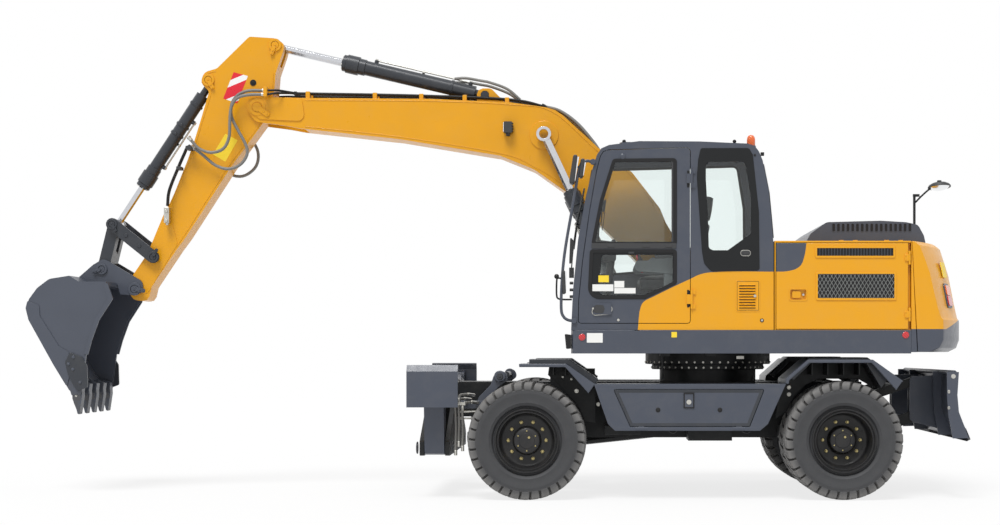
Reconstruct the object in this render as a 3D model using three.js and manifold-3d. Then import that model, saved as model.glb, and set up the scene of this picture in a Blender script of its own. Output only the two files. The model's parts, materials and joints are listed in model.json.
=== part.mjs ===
// Wheeled excavator: two axles on twin tyres, a full-turn upper with a cab on its left side,
// a one-piece boom, an arm and a bucket, a dozer blade at the rear and two outriggers in front.
//
// Millimetres. X runs from the bucket to the counterweight, Y from the cab side to the tank side,
// Z up from the ground. Below, X and Y are measured from the slew axis; the last lines move the
// whole machine so that its origin is the bottom centre of its bounding box.

import * as THREE from 'three';
import { mergeVertices } from 'three/addons/utils/BufferGeometryUtils.js';
import Module from 'manifold-3d';

const wasm = await Module();
wasm.setup();

// ---------------------------------------------------------------- driving dimensions

const overallWidth = 2500;
const halfWidth = overallWidth / 2;
const seamGap = 0.3; // between pieces that are bolted together
const pinPlay = 0.3; // between a pin and its bore, on the radius
const sideClearance = 6; // between pieces that swing past each other
const wheelSides = 18; // sides of a full circle on tyres and rims
const roundSides = 14; // sides of a full circle on other large round pieces
const pinSides = 8; // sides of a full circle on pins and rods

// wheels
const wheelbase = 2800;
const frontAxleX = -1672;
const rearAxleX = frontAxleX + wheelbase;
const tyreRadius = 525;
const tyreWidth = 278;
const twinSpacing = 320; // between the middles of two twin tyres
const tyreBore = 262;
const axleZ = tyreRadius;
const steeringPivotY = 800;

// undercarriage
const chassisHalf = 290;
const chassisTopZ = 1030;
const chassisFrontX = -2360;
const chassisRearX = rearAxleX + 292;
const slewSeatZ = 1194; // top of the slew ring
const slewPlay = 0.5;
const slewRingRadius = 525;
const boxInnerY = 800; // inner face of the side boxes

// upper
const deckBottomZ = 1296;
const deckTopZ = 1503;
const deckHalf = halfWidth - 20;
const deckFrontX = -1281;
const deckRearX = 1718;
const houseFrontX = 514;
const houseRearX = 1716;
const houseTopZ = 2290;
const houseWall = 40;
const hoodHalf = 850;
const tailRadius = 2345;
const tailTopZ = 2288;
const cabWall = 45;
const doorGap = 6;

// boom, arm and bucket, seen from the side as [x, z]
const boomFoot = [-100, 1780];
const boomTip = [-4250, 3613];
const boomCylinderBase = [-700, 1540];
const boomCylinderPin = [-1550, 3350];
const armCylinderBase = [-2114, 3745];
const armCylinderPin = [-4090, 4206];
const bucketCylinderBase = [-4720, 3876];
const rockerPivot = [-5228, 2202];
const bucketPivot = [-5407, 1901];
const rockerTip = [-5614, 2512];
const linkPivot = [-5717, 2089];
const armHalf = 135;
const plateThickness = 30; // ears and lugs
const boomHalf = armHalf + sideClearance + plateThickness;
const boomBarrelRadius = 65;
const armBarrelRadius = 70;
const bucketBarrelRadius = 59;
const eyeHalf = 40; // half the width of a cylinder's eye
const pinRadius = 38;
const bucketHalf = 525;

// front outriggers, seen from the front as [distance from the middle, z]
const outriggerX = -2505;
const outriggerPivot = [950, 450];
const padPivot = [1080, 1050];
const outriggerCylinderBase = [200, 1000];
const outriggerCylinderPin = [920, 765];
const legHalf = 88;

// rear blade, seen from the side as [x, z]
const bladeArmPivot = [rearAxleX + 232, 545];
const bladeLowerPin = [rearAxleX + 742, 720];
const bladeLinkPivot = [bladeArmPivot[0], 865];
const bladeUpperPin = [bladeLowerPin[0], bladeLowerPin[1] + bladeLinkPivot[1] - bladeArmPivot[1]];
const bladeCylinderBase = [rearAxleX + 172, 990];
const bladeCylinderPin = [rearAxleX + 572, 610];
const bladeArmY = 500;

// ---------------------------------------------------------------- materials

const paint = (color, roughness = 0.45, metalness = 0.1) =>
  new THREE.MeshStandardMaterial({ color, roughness, metalness });
const yellow = () => paint(0xe9a81c);
const grey = () => paint(0x555b68, 0.55);
const black = () => paint(0x202224, 0.7);
const chrome = () => paint(0xd8dadc, 0.15, 1);
const rubber = () => paint(0x18191a, 0.9, 0);
const fabric = () => paint(0x2b2d30, 0.95, 0);

// ---------------------------------------------------------------- solids

/** A closed geometry as a solid that can be joined and cut. */
function solid(geometry) {
  geometry.deleteAttribute('normal');
  geometry.deleteAttribute('uv');
  const merged = mergeVertices(geometry, 1e-3);
  const triangles = [];
  for (let i = 0; i < merged.index.count; i += 3) {
    const [a, b, c] = merged.index.array.slice(i, i + 3);
    if (a !== b && b !== c && c !== a) triangles.push(a, b, c);
  }
  return new wasm.Manifold(
    new wasm.Mesh({
      numProp: 3,
      vertProperties: new Float32Array(merged.attributes.position.array),
      triVerts: new Uint32Array(triangles),
    }),
  );
}

const join = (first, ...others) => others.reduce((whole, other) => whole.add(other), first);
const cut = (body, ...tools) => tools.reduce((rest, tool) => rest.subtract(tool), body);

/** A block from its low and high limits along X, Y and Z. */
function block([x0, x1], [y0, y1], [z0, z1]) {
  const geometry = new THREE.BoxGeometry(x1 - x0, y1 - y0, z1 - z0);
  return solid(geometry.translate((x0 + x1) / 2, (y0 + y1) / 2, (z0 + z1) / 2));
}

/** Outline points, with an arc in place of each corner that has a radius: [u, v, radius]. */
function rounded(corners, arcSteps = 2) {
  const points = [];
  corners.forEach(([u, v, radius = 0], i) => {
    const here = new THREE.Vector2(u, v);
    const before = new THREE.Vector2(...corners.at(i - 1));
    const after = new THREE.Vector2(...corners[(i + 1) % corners.length]);
    if (!radius) {
      points.push(here);
      return;
    }
    const toBefore = before.sub(here).normalize();
    const toAfter = after.sub(here).normalize();
    const half = Math.acos(THREE.MathUtils.clamp(toBefore.dot(toAfter), -1, 1)) / 2;
    const centre = toBefore.clone().add(toAfter).setLength(radius / Math.sin(half)).add(here);
    const start = here.clone().addScaledVector(toBefore, radius / Math.tan(half)).sub(centre);
    const turn = (Math.PI - 2 * half) * Math.sign(toBefore.cross(toAfter));
    for (let step = 0; step <= arcSteps; step += 1) {
      points.push(start.clone().rotateAround(new THREE.Vector2(), (-turn * step) / arcSteps).add(centre));
    }
  });
  return points;
}

/** Corners moved inwards by a distance, for an outline that runs either way round. */
function inset(corners, distance) {
  const plain = corners.map(([u, v]) => new THREE.Vector2(u, v));
  const sense = Math.sign(THREE.ShapeUtils.area(plain));
  return corners.map(([u, v, radius = 0], i) => {
    const here = plain[i];
    const into = here.clone().sub(plain.at(i - 1)).normalize();
    const out = plain[(i + 1) % plain.length].clone().sub(here).normalize();
    const normalIn = new THREE.Vector2(-into.y, into.x).multiplyScalar(sense);
    const normalOut = new THREE.Vector2(-out.y, out.x).multiplyScalar(sense);
    const shift = normalIn.add(normalOut);
    shift.multiplyScalar((2 * distance) / shift.lengthSq());
    return [u + shift.x, v + shift.y, radius && Math.max(radius - distance, 1)];
  });
}

/** An outline in X and Z, extruded between two places along Y. */
function sidePrism(corners, y0, y1, arcSteps) {
  const shape = new THREE.Shape(rounded(corners, arcSteps));
  const geometry = new THREE.ExtrudeGeometry(shape, { depth: Math.abs(y1 - y0), bevelEnabled: false });
  return solid(geometry.rotateX(Math.PI / 2).translate(0, Math.max(y0, y1), 0));
}

/** An outline in Y and Z, extruded between two places along X. */
function frontPrism(corners, x0, x1, arcSteps) {
  const shape = new THREE.Shape(rounded(corners, arcSteps));
  const geometry = new THREE.ExtrudeGeometry(shape, { depth: x1 - x0, bevelEnabled: false });
  return solid(geometry.rotateX(Math.PI / 2).rotateZ(Math.PI / 2).translate(x0, 0, 0));
}

/** An outline in X and Y, extruded between two heights. */
function planPrism(corners, z0, z1, arcSteps) {
  const shape = new THREE.Shape(rounded(corners, arcSteps));
  const geometry = new THREE.ExtrudeGeometry(shape, { depth: z1 - z0, bevelEnabled: false });
  return solid(geometry.translate(0, 0, z0));
}

/** A round bar between two points, its flats turned about its length by the given angle. */
function bar(from, to, radius, sides = pinSides, turned = 0) {
  const start = new THREE.Vector3(...from);
  const span = new THREE.Vector3(...to).sub(start);
  const geometry = new THREE.CylinderGeometry(radius, radius, span.length(), sides, 1, false, turned);
  geometry.translate(0, span.length() / 2, 0);
  const turn = new THREE.Quaternion().setFromUnitVectors(new THREE.Vector3(0, 1, 0), span.normalize());
  geometry.applyQuaternion(turn);
  return solid(geometry.translate(...from));
}

/** A round bar along Y through a point seen from the side. */
const pin = ([x, z], y0, y1, radius = pinRadius, sides = pinSides) =>
  bar([x, y0, z], [x, y1, z], radius, sides);

/** A bore in which a round bar turns: its flats clear the bar's corners, and face them as drawn. */
const boreBetween = (from, to, radius, sides = pinSides) =>
  bar(from, to, (radius + pinPlay) / Math.cos(Math.PI / sides), sides, Math.PI / sides);

/** A bore along Y through a point seen from the side. */
const bore = ([x, z], y0, y1, radius = pinRadius, sides = pinSides) =>
  boreBetween([x, y0, z], [x, y1, z], radius, sides);

/** The same bodies on both sides of the middle, joined. */
const mirrored = (body) => body.add(body.mirror([0, 1, 0]));

// ---------------------------------------------------------------- scene graph

const machine = new THREE.Group();

/** Adds a solid to the machine as a named mesh, placed at an origin of its own. */
function part(name, body, material, origin = [0, 0, 0]) {
  const { vertProperties, triVerts } = body.translate(origin.map((c) => -c)).simplify(0.005).getMesh();
  const geometry = new THREE.BufferGeometry();
  geometry.setAttribute('position', new THREE.BufferAttribute(vertProperties, 3));
  geometry.setIndex(new THREE.BufferAttribute(triVerts, 1));
  geometry.computeVertexNormals();
  const mesh = new THREE.Mesh(geometry, material);
  mesh.name = name;
  mesh.position.set(...origin);
  machine.add(mesh);
}

const sides = [
  { name: 'left', way: -1 },
  { name: 'right', way: 1 },
];

/** A body drawn on the right side, moved to the side that is asked for. */
const onSide = (body, way) => (way > 0 ? body : body.mirror([0, 1, 0]));

// ---------------------------------------------------------------- wheels

const wheelInnerY = halfWidth - tyreWidth - twinSpacing;
const beadHalf = 112; // half the tyre's width where it sits on the rim
const rimThickness = 12;
const rimBarrel = tyreBore - seamGap;
const rimFlange = 285;
const flangeThickness = 10;
const discMiddle = (tyreWidth + twinSpacing) / 2;
const hubBore = 80;
const hubBossRadius = 115;
const hubInner = 225; // from the wheel's inner face
const spindleEnd = 290;

/** A profile of [radius, distance from the wheel's inner face], turned about the axle. */
function turned(profile, axleX, way) {
  const points = profile.map(([r, y]) => new THREE.Vector2(r / Math.cos(Math.PI / wheelSides), y));
  const geometry = new THREE.LatheGeometry([...points, points[0]], wheelSides, Math.PI / wheelSides);
  return onSide(solid(geometry.translate(axleX, wheelInnerY, axleZ)), way);
}

/** A tyre section centred on the given distance from the wheel's inner face. */
function tyreProfile(middle) {
  const half = tyreWidth / 2;
  const outside = [
    [tyreBore, beadHalf],
    [430, half],
    [tyreRadius - 25, half - 12],
    [tyreRadius, half - 42],
  ];
  const inside = outside.map(([r, y]) => [r, -y]).reverse();
  return [...inside, ...outside].reverse().map(([r, y]) => [r, y + middle]);
}

/** Both rims of a twin wheel with their disc and hub, for a hub cover of the given reach. */
function rimProfile(hubReach) {
  const seat = beadHalf + seamGap + 4;
  const innerMiddle = tyreWidth / 2;
  const outerMiddle = innerMiddle + twinSpacing;
  const barrelInside = rimBarrel - rimThickness;
  return [
    [0, spindleEnd + 15],
    [0, hubReach],
    [105, hubReach],
    [115, discMiddle + 35],
    [barrelInside, discMiddle + 45],
    [barrelInside, outerMiddle + seat + flangeThickness],
    [rimFlange, outerMiddle + seat + flangeThickness],
    [rimFlange, outerMiddle + seat],
    [rimBarrel, outerMiddle + seat],
    [rimBarrel, outerMiddle - seat],
    [rimFlange, outerMiddle - seat],
    [rimFlange, innerMiddle + seat],
    [rimBarrel, innerMiddle + seat],
    [rimBarrel, innerMiddle - seat],
    [rimFlange, innerMiddle - seat],
    [rimFlange, innerMiddle - seat - flangeThickness],
    [barrelInside, innerMiddle - seat - flangeThickness],
    [barrelInside, discMiddle - 35],
    [hubBossRadius, discMiddle - 30],
    [hubBossRadius, hubInner],
    [hubBore, hubInner],
    [hubBore, spindleEnd + 15],
  ].reverse();
}

const axles = [
  { name: 'front', x: frontAxleX, hubReach: 560 },
  { name: 'rear', x: rearAxleX, hubReach: 470 },
];

for (const axle of axles) {
  for (const side of sides) {
    const label = `${axle.name}_${side.name}`;
    const origin = [axle.x, side.way * (wheelInnerY + discMiddle), axleZ];
    const inner = turned(tyreProfile(tyreWidth / 2), axle.x, side.way);
    const outer = turned(tyreProfile(tyreWidth / 2 + twinSpacing), axle.x, side.way);
    part(`rim_${label}`, turned(rimProfile(axle.hubReach), axle.x, side.way), black(), origin);
    part(`tyre_inner_${label}`, inner, rubber(), origin);
    part(`tyre_outer_${label}`, outer, rubber(), origin);
  }
}

// ---------------------------------------------------------------- axles and knuckles

const spindleRadius = hubBore - 8;
const spindleTipY = wheelInnerY + spindleEnd;
const spindleShoulder = hubBore - seamGap - 0.2;
const kingpinRadius = 34;
const knuckleHalf = 120; // half the height of the knuckle
const forkThickness = 40;
const knuckleY = steeringPivotY;
const trunnionRadius = 55;
const trunnionHalf = 240;
const axleHousingRadius = 165;

/** The knuckle that carries one front wheel: kingpin sleeve, spindle and steering arm. */
function knuckle() {
  const sleeve = bar(
    [frontAxleX, knuckleY, axleZ - knuckleHalf],
    [frontAxleX, knuckleY, axleZ + knuckleHalf],
    kingpinRadius + 22,
  );
  const spindle = pin([frontAxleX, axleZ], knuckleY, spindleTipY, spindleRadius, roundSides);
  const bearing = pin([frontAxleX, axleZ], spindleTipY - 30, spindleTipY, spindleShoulder, roundSides);
  const kingpin = bar(
    [frontAxleX, knuckleY, axleZ - knuckleHalf - forkThickness],
    [frontAxleX, knuckleY, axleZ + knuckleHalf + forkThickness],
    kingpinRadius,
  );
  const arm = block([frontAxleX, frontAxleX + 190], [knuckleY - 35, knuckleY + 5], [axleZ - 60, axleZ - 20]);
  return join(sleeve, spindle, bearing, kingpin, arm);
}

for (const side of sides) {
  const origin = [frontAxleX, side.way * knuckleY, axleZ];
  part(`knuckle_${side.name}`, onSide(knuckle(), side.way), black(), origin);
}

/** The forked end of the front axle, on the right side. */
function axleFork() {
  const reach = knuckleY + 55;
  const start = knuckleY - 130;
  const lug = (low) => block([frontAxleX - 60, frontAxleX + 60], [start, reach], [low, low + forkThickness]);
  const lower = lug(axleZ - knuckleHalf - seamGap - forkThickness);
  const upper = lug(axleZ + knuckleHalf + seamGap);
  const web = block(
    [frontAxleX - 60, frontAxleX + 60],
    [start, start + 45],
    [axleZ - knuckleHalf - forkThickness, axleZ + knuckleHalf + forkThickness],
  );
  const hole = boreBetween(
    [frontAxleX, knuckleY, axleZ - 250],
    [frontAxleX, knuckleY, axleZ + 250],
    kingpinRadius,
  );
  return cut(join(lower, upper, web), hole);
}

function frontAxle() {
  const beam = pin([frontAxleX, axleZ], -(knuckleY - 100), knuckleY - 100, 80);
  const housing = pin([frontAxleX, axleZ], -150, 150, axleHousingRadius, roundSides);
  const trunnion = bar(
    [frontAxleX - trunnionHalf, 0, axleZ + 60],
    [frontAxleX + trunnionHalf, 0, axleZ + 60],
    trunnionRadius,
  );
  return join(beam, housing, trunnion, mirrored(axleFork()));
}

function rearAxle() {
  const tube = (y0, y1, r) => pin([rearAxleX, axleZ], y0, y1, r, roundSides);
  const housing = pin([rearAxleX, axleZ], -150, 150, axleHousingRadius, roundSides);
  const saddle = block(
    [rearAxleX - 90, rearAxleX + 90],
    [150, chassisHalf - 20],
    [axleZ, chassisAxleZ - seamGap],
  );
  const end = join(
    tube(0, wheelInnerY + hubInner - 8, 95),
    tube(0, spindleTipY, spindleRadius),
    tube(spindleTipY - 30, spindleTipY, spindleShoulder),
  );
  return join(housing, mirrored(end), mirrored(saddle));
}

// ---------------------------------------------------------------- chassis

const chassisAxleZ = 705; // underside of the beam over the axles
const chassisBellyZ = 510; // underside between the axles
const tunnelHalf = 110; // half the width of the tunnel for the shafts
const tunnelTopZ = chassisBellyZ + 150;
const crossBeams = [-560, 120];
const crossBeamLength = 110;
const trunnionPlate = 45;
const outriggerPlate = 40; // each plate of the outrigger cross beam
const outriggerPlateX = legHalf + 6; // its inner face from the leg's middle

function chassis() {
  const beam = sidePrism(
    [
      [chassisFrontX, chassisTopZ],
      [chassisFrontX, chassisAxleZ],
      [frontAxleX + 400, chassisAxleZ],
      [frontAxleX + 520, chassisBellyZ],
      [rearAxleX - 480, chassisBellyZ],
      [rearAxleX - 360, chassisAxleZ],
      [chassisRearX, chassisAxleZ],
      [chassisRearX, chassisTopZ],
    ],
    -chassisHalf,
    chassisHalf,
  );
  const centre = planPrism(
    [
      [-620, -boxInnerY * 0.3],
      [-460, -470],
      [460, -470],
      [620, -boxInnerY * 0.3],
      [620, boxInnerY * 0.3],
      [460, 470],
      [-460, 470],
      [-620, boxInnerY * 0.3],
    ],
    chassisTopZ - 180,
    chassisTopZ,
  );
  const turret = bar([0, 0, chassisTopZ - 10], [0, 0, slewSeatZ - 45], 450, roundSides);
  const ring = bar([0, 0, slewSeatZ - 48], [0, 0, slewSeatZ], slewRingRadius, roundSides);
  const cross = crossBeams.map((x) =>
    block([x, x + crossBeamLength], [-boxInnerY + seamGap, boxInnerY - seamGap], [640, 1000]),
  );
  const hangers = [-trunnionHalf, trunnionHalf - trunnionPlate].map((x) =>
    cut(
      block(
        [frontAxleX + x, frontAxleX + x + trunnionPlate],
        [-chassisHalf + 90, chassisHalf - 90],
        [axleZ - 40, chassisAxleZ + 1],
      ),
      boreBetween([frontAxleX - 300, 0, axleZ + 60], [frontAxleX + 300, 0, axleZ + 60], trunnionRadius),
    ),
  );
  const valveCover = block([-1490, -1070], [-chassisHalf + 20, chassisHalf - 20], [chassisTopZ - 1, 1150]);
  return join(beam, centre, turret, ring, ...cross, ...hangers, valveCover);
}

/** The two plates and middle box that carry the outrigger legs and their cylinders. */
function outriggerBeam() {
  const [pivotY, pivotZ] = outriggerPivot;
  const outline = [
    [-pivotY - 60, pivotZ - 70, 30],
    [pivotY + 60, pivotZ - 70, 30],
    [pivotY + 60, pivotZ + 60, 40],
    [chassisHalf + 60, chassisTopZ - 190],
    [chassisHalf, chassisTopZ + 20],
    [-chassisHalf, chassisTopZ + 20],
    [-chassisHalf - 60, chassisTopZ - 190],
    [-pivotY - 60, pivotZ + 60, 40],
  ];
  const plates = [-outriggerPlateX - outriggerPlate, outriggerPlateX].map((x) =>
    frontPrism(outline, outriggerX + x, outriggerX + x + outriggerPlate),
  );
  const floor = block(
    [outriggerX - outriggerPlateX - 1, outriggerX + outriggerPlateX + 1],
    [-pivotY + 160, pivotY - 160],
    [pivotZ - 70, pivotZ - 40],
  );
  const post = block(
    [outriggerX - outriggerPlateX - 1, outriggerX + outriggerPlateX + 1],
    [-60, 60],
    [pivotZ - 70, chassisTopZ - 20],
  );
  const neck = block(
    [outriggerX + outriggerPlateX + outriggerPlate - 1, chassisFrontX + 5],
    [-chassisHalf, chassisHalf],
    [chassisAxleZ, chassisTopZ],
  );
  const holes = [1, -1].flatMap((way) =>
    [outriggerPivot, outriggerCylinderBase].map(([y, z]) =>
      boreBetween([outriggerX - 200, way * y, z], [outriggerX + 200, way * y, z], legPinRadius),
    ),
  );
  return cut(join(...plates, floor, post, neck), ...holes);
}

/** Brackets at the rear end that carry the blade's arms, links and cylinder. */
function bladeBracket() {
  const outline = [
    [rearAxleX + 175, chassisTopZ],
    [rearAxleX + 175, bladeArmPivot[1] + 40],
    [bladeArmPivot[0] - 50, bladeArmPivot[1] - 65, 40],
    [bladeArmPivot[0] + 62, bladeArmPivot[1] - 65, 60],
    [bladeArmPivot[0] + 62, chassisTopZ],
  ];
  const plate = sidePrism(outline, chassisHalf - 50, chassisHalf);
  const lug = sidePrism(outline.map(([x, z]) => [x, Math.max(z, chassisAxleZ)]), 60, 90);
  return join(plate, lug);
}

const legPinRadius = 30;
const bladePinRadius = 30;
const bladePocketHalf = 90; // half the width of the pocket for the blade's cylinder

const bladeHoles = [bladeArmPivot, bladeLinkPivot, bladeCylinderBase].map((place) =>
  bore(place, -halfWidth, halfWidth, bladePinRadius),
);
const bladePocket = block(
  [rearAxleX + 120, chassisRearX + 100],
  [-bladePocketHalf, bladePocketHalf],
  [chassisAxleZ - 300, bladeCylinderBase[1] + 60],
);
const shaftTunnel = block(
  [frontAxleX + 390, rearAxleX - 350],
  [-tunnelHalf, tunnelHalf],
  [chassisBellyZ - 1, tunnelTopZ],
);
part(
  'chassis_frame',
  cut(
    join(chassis(), outriggerBeam(), mirrored(bladeBracket())),
    bladePocket,
    shaftTunnel,
    ...bladeHoles,
  ),
  black(),
);
part('front_axle', frontAxle(), black(), [frontAxleX, 0, axleZ]);
part('rear_axle', rearAxle(), black(), [rearAxleX, 0, axleZ]);

/** Gearbox in the tunnel under the chassis, with the shafts that reach both axles. */
function driveline() {
  const shaftZ = chassisBellyZ + 65;
  const shaftRadius = 42;
  const boxLength = 340;
  const box = block(
    [-boxLength / 2, boxLength / 2],
    [-tunnelHalf + 20, tunnelHalf - 20],
    [shaftZ - 60, tunnelTopZ - seamGap],
  );
  const front = bar([frontAxleX + 100, 0, axleZ - 100], [-boxLength / 2 + 20, 0, shaftZ], shaftRadius);
  const rear = bar([boxLength / 2 - 20, 0, shaftZ], [rearAxleX - 100, 0, axleZ + 15], shaftRadius);
  const clear = axles.map(({ x }) =>
    pin([x, axleZ], -200, 200, axleHousingRadius + seamGap, roundSides),
  );
  return cut(join(box, front, rear), ...clear);
}

part('driveline', driveline(), black());

// ---------------------------------------------------------------- side boxes and mudguards

const boxTopZ = 1028;
const boxBottomZ = 616;
const boxDoorThickness = 25;
const boxDoorInset = 3; // of the door's outer face from the box's
const boxWall = 25;
const guardThickness = 8;
const guardInnerY = 600;
const guardTopZ = 1241;
const boxOuterY = halfWidth - 2;

const boxOutline = [
  [frontAxleX + 593, boxTopZ],
  [rearAxleX - 517, boxTopZ],
  [rearAxleX - 675, boxBottomZ + 60],
  [rearAxleX - 746, boxBottomZ],
  [frontAxleX + 778, boxBottomZ],
  [frontAxleX + 716, boxBottomZ + 60],
];
const boxDoorOutline = [
  [frontAxleX + 760, boxTopZ - 44, 15],
  [rearAxleX - 702, boxTopZ - 44, 15],
  [rearAxleX - 834, boxBottomZ + 33, 15],
  [frontAxleX + 910, boxBottomZ + 33, 15],
];
const frontGuard = [
  [frontAxleX - 67, 1204],
  [frontAxleX + 347, 1204],
  [frontAxleX + 600, boxTopZ - 2],
];
const rearGuard = [
  [rearAxleX - 520, boxTopZ - 2],
  [rearAxleX - 517, boxTopZ + 44],
  [rearAxleX - 323, guardTopZ],
  [rearAxleX + 249, guardTopZ],
  [rearAxleX + 513, 1054],
];

/** A bent sheet along a line seen from the side. */
function sheet(line, y0, y1, thickness) {
  const lower = line.map(([x, z]) => [x, z - thickness]);
  return sidePrism([...line, ...lower.reverse()], y0, y1);
}

const hingeRadius = 11;
const hingeSides = 8;
const hingePlay = 0.4;

/** One hinge: a middle knuckle on the moving side and two end knuckles on the fixed side. */
function hinge(middle, along, knuckleLength) {
  const at = (offset) => middle.map((c, i) => c + along[i] * offset);
  const knuckleBetween = (a, b) => bar(at(a), at(b), hingeRadius, hingeSides);
  const half = knuckleLength / 2;
  return {
    moving: knuckleBetween(-half, half),
    fixed: join(
      knuckleBetween(-half - hingePlay - knuckleLength / 2, -half - hingePlay),
      knuckleBetween(half + hingePlay, half + hingePlay + knuckleLength / 2),
    ),
  };
}

const boxHingeLength = 50;
const boxHingeXs = [frontAxleX + 1010, rearAxleX - 930];
const boxHingeZ = boxDoorOutline[2][1] - 12;
const boxHingeY = boxOuterY - hingeRadius;
const boxHinges = boxHingeXs.map((x) => hinge([x, boxHingeY, boxHingeZ], [1, 0, 0], boxHingeLength));

function boxDoor() {
  const outer = boxOuterY - boxDoorInset;
  const panel = sidePrism(inset(boxDoorOutline, doorGap), outer - boxDoorThickness, outer);
  const middleX = (boxDoorOutline[0][0] + boxDoorOutline[1][0]) / 2;
  const latch = block(
    [middleX - 44, middleX + 44],
    [outer - 1, boxOuterY + 1],
    [boxTopZ - 212, boxTopZ - 80],
  );
  const leaves = boxHingeXs.map((x) =>
    block(
      [x - boxHingeLength / 2, x + boxHingeLength / 2],
      [boxHingeY - 4, boxHingeY + hingeRadius - 2],
      [boxHingeZ, boxHingeZ + 32],
    ),
  );
  return join(panel, latch, ...leaves, ...boxHinges.map(({ moving }) => moving));
}

function sideBox() {
  const shell = sidePrism(boxOutline, boxInnerY, boxOuterY);
  const room = sidePrism(inset(boxDoorOutline, boxWall), boxInnerY + boxWall, boxOuterY + 1);
  const doorway = sidePrism(boxDoorOutline, boxOuterY - boxDoorInset - boxDoorThickness - 8, boxOuterY + 1);
  const guards = join(
    sheet(frontGuard, guardInnerY, boxOuterY, guardThickness),
    sheet(rearGuard, guardInnerY, boxOuterY, guardThickness),
  );
  const hingeRoom = boxHingeXs.map((x) =>
    block(
      [x - boxHingeLength - 6, x + boxHingeLength + 6],
      [boxHingeY - hingeRadius - 8, boxOuterY + 1],
      [boxHingeZ - hingeRadius - 6, boxHingeZ + 40],
    ),
  );
  const seats = boxHingeXs.flatMap((x) =>
    [-1, 1].map((end) =>
      block(
        [x + end * (boxHingeLength * 0.78) - 11, x + end * (boxHingeLength * 0.78) + 11],
        [boxHingeY - hingeRadius - 9, boxHingeY],
        [boxHingeZ - 9, boxHingeZ + 9],
      ),
    ),
  );
  const fixed = boxHinges.map((each) => each.fixed);
  return join(cut(shell, room, doorway, ...hingeRoom), guards, ...seats, ...fixed);
}

for (const side of sides) {
  part(`side_box_${side.name}`, onSide(sideBox(), side.way), grey());
  const origin = [0, side.way * boxHingeY, boxHingeZ];
  part(`box_door_${side.name}`, onSide(boxDoor(), side.way), grey(), origin);
}

// ---------------------------------------------------------------- outriggers

const legThickness = 20;
const padThickness = 22;
const padOuterY = halfWidth;
const padHalf = 226;
const outriggerBarrelRadius = 42;
const outriggerRodRadius = 24;
const outriggerEyeHalf = 26;
const outriggerBarrelShare = 0.78;

/** A point part of the way between two others. */
const between = (from, to, share) => from.map((c, i) => c + (to[i] - c) * share);

/** A bar along X through a point seen from the front. */
const crossPin = ([y, z], x0, x1, radius, count = pinSides) => bar([x0, y, z], [x1, y, z], radius, count);

function outriggerLeg() {
  const [py, pz] = outriggerPivot;
  const [ty, tz] = padPivot;
  const outline = [
    [py - 70, pz - 62, 55],
    [py + 62, pz - 62, 55],
    [ty + 52, tz + 52, 50],
    [ty - 62, tz + 52, 50],
    [outriggerCylinderPin[0] - 60, outriggerCylinderPin[1] + 70, 40],
    [outriggerCylinderPin[0] - 75, outriggerCylinderPin[1] - 60, 40],
  ];
  const low = outriggerX - legHalf;
  const high = outriggerX + legHalf;
  const body = frontPrism(outline, low, high);
  const channel = frontPrism(
    [
      [py - 300, pz + 75],
      [py + 5, pz + 75],
      [ty - 15, tz - 75],
      [ty - 300, tz - 75],
    ],
    low + legThickness,
    high - legThickness,
  );
  const pivot = crossPin(outriggerPivot, low - outriggerPlate - 5, high + outriggerPlate + 5, legPinRadius);
  const padHole = boreBetween([low - 50, ...padPivot], [high + 50, ...padPivot], legPinRadius);
  return cut(join(cut(body, channel), pivot), padHole);
}

function outriggerPad() {
  const [ty, tz] = padPivot;
  const plate = frontPrism(
    [
      [padOuterY - padThickness, tz - 229],
      [padOuterY, tz - 229],
      [padOuterY, tz + 88],
      [padOuterY - 35, tz + 145],
      [padOuterY - 35 - padThickness, tz + 135],
      [padOuterY - padThickness, tz + 80],
    ],
    outriggerX - padHalf,
    outriggerX + padHalf,
  );
  const outline = [
    [ty - 45, tz - 45, 40],
    [padOuterY - padThickness + 2, tz - 120],
    [padOuterY - padThickness + 2, tz + 75],
    [ty - 45, tz + 45, 40],
  ];
  const gap = 1;
  const lugs = [-legHalf - gap - 20, legHalf + gap].map((x) =>
    frontPrism(outline, outriggerX + x, outriggerX + x + 20),
  );
  const shaft = crossPin(padPivot, outriggerX - legHalf - 22, outriggerX + legHalf + 22, legPinRadius);
  return join(plate, ...lugs, shaft);
}

/**
 * The two halves of a cylinder: a barrel with its eye at the base, and a rod with its eye at the tip.
 * share is the barrel's part of the length as placed, and inside is how far the rod reaches in.
 */
function cylinderPair(base, tip, { barrel, rod, share, inside, eye }, make) {
  const length = Math.hypot(tip[0] - base[0], tip[1] - base[1]);
  const at = (distance) => between(base, tip, distance / length);
  const eyeRadius = eye.radius;
  const barrelEnd = length * share;
  const neck = make.along(at(eyeRadius * 0.6), at(eye.neck + 5), eye.half, pinSides);
  const tube = make.along(at(eye.neck), at(barrelEnd), barrel, roundSides);
  const chamber = make.bore(at(eye.neck + 20), at(barrelEnd + 5), rod);
  const baseEye = make.across(base, -eye.half, eye.half, eyeRadius);
  const rodBar = make.along(at(barrelEnd - inside), at(length - eyeRadius * 0.5), rod, pinSides);
  const rodEye = make.across(tip, -eye.half, eye.half, eyeRadius);
  const rodBore = make.across(tip, -eye.half - 1, eye.half + 1, eye.bore);
  return {
    barrel: cut(join(tube, neck, baseEye), chamber),
    rod: cut(join(rodBar, rodEye), rodBore),
  };
}

/** How cylinders are made on a plane seen from the side, at a place along Y. */
const sidePlane = (y) => ({
  along: (from, to, radius, count) => bar([from[0], y, from[1]], [to[0], y, to[1]], radius, count),
  bore: (from, to, radius) => boreBetween([from[0], y, from[1]], [to[0], y, to[1]], radius),
  across: (place, low, high, radius) => pin(place, y + low, y + high, radius, roundSides),
});

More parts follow.
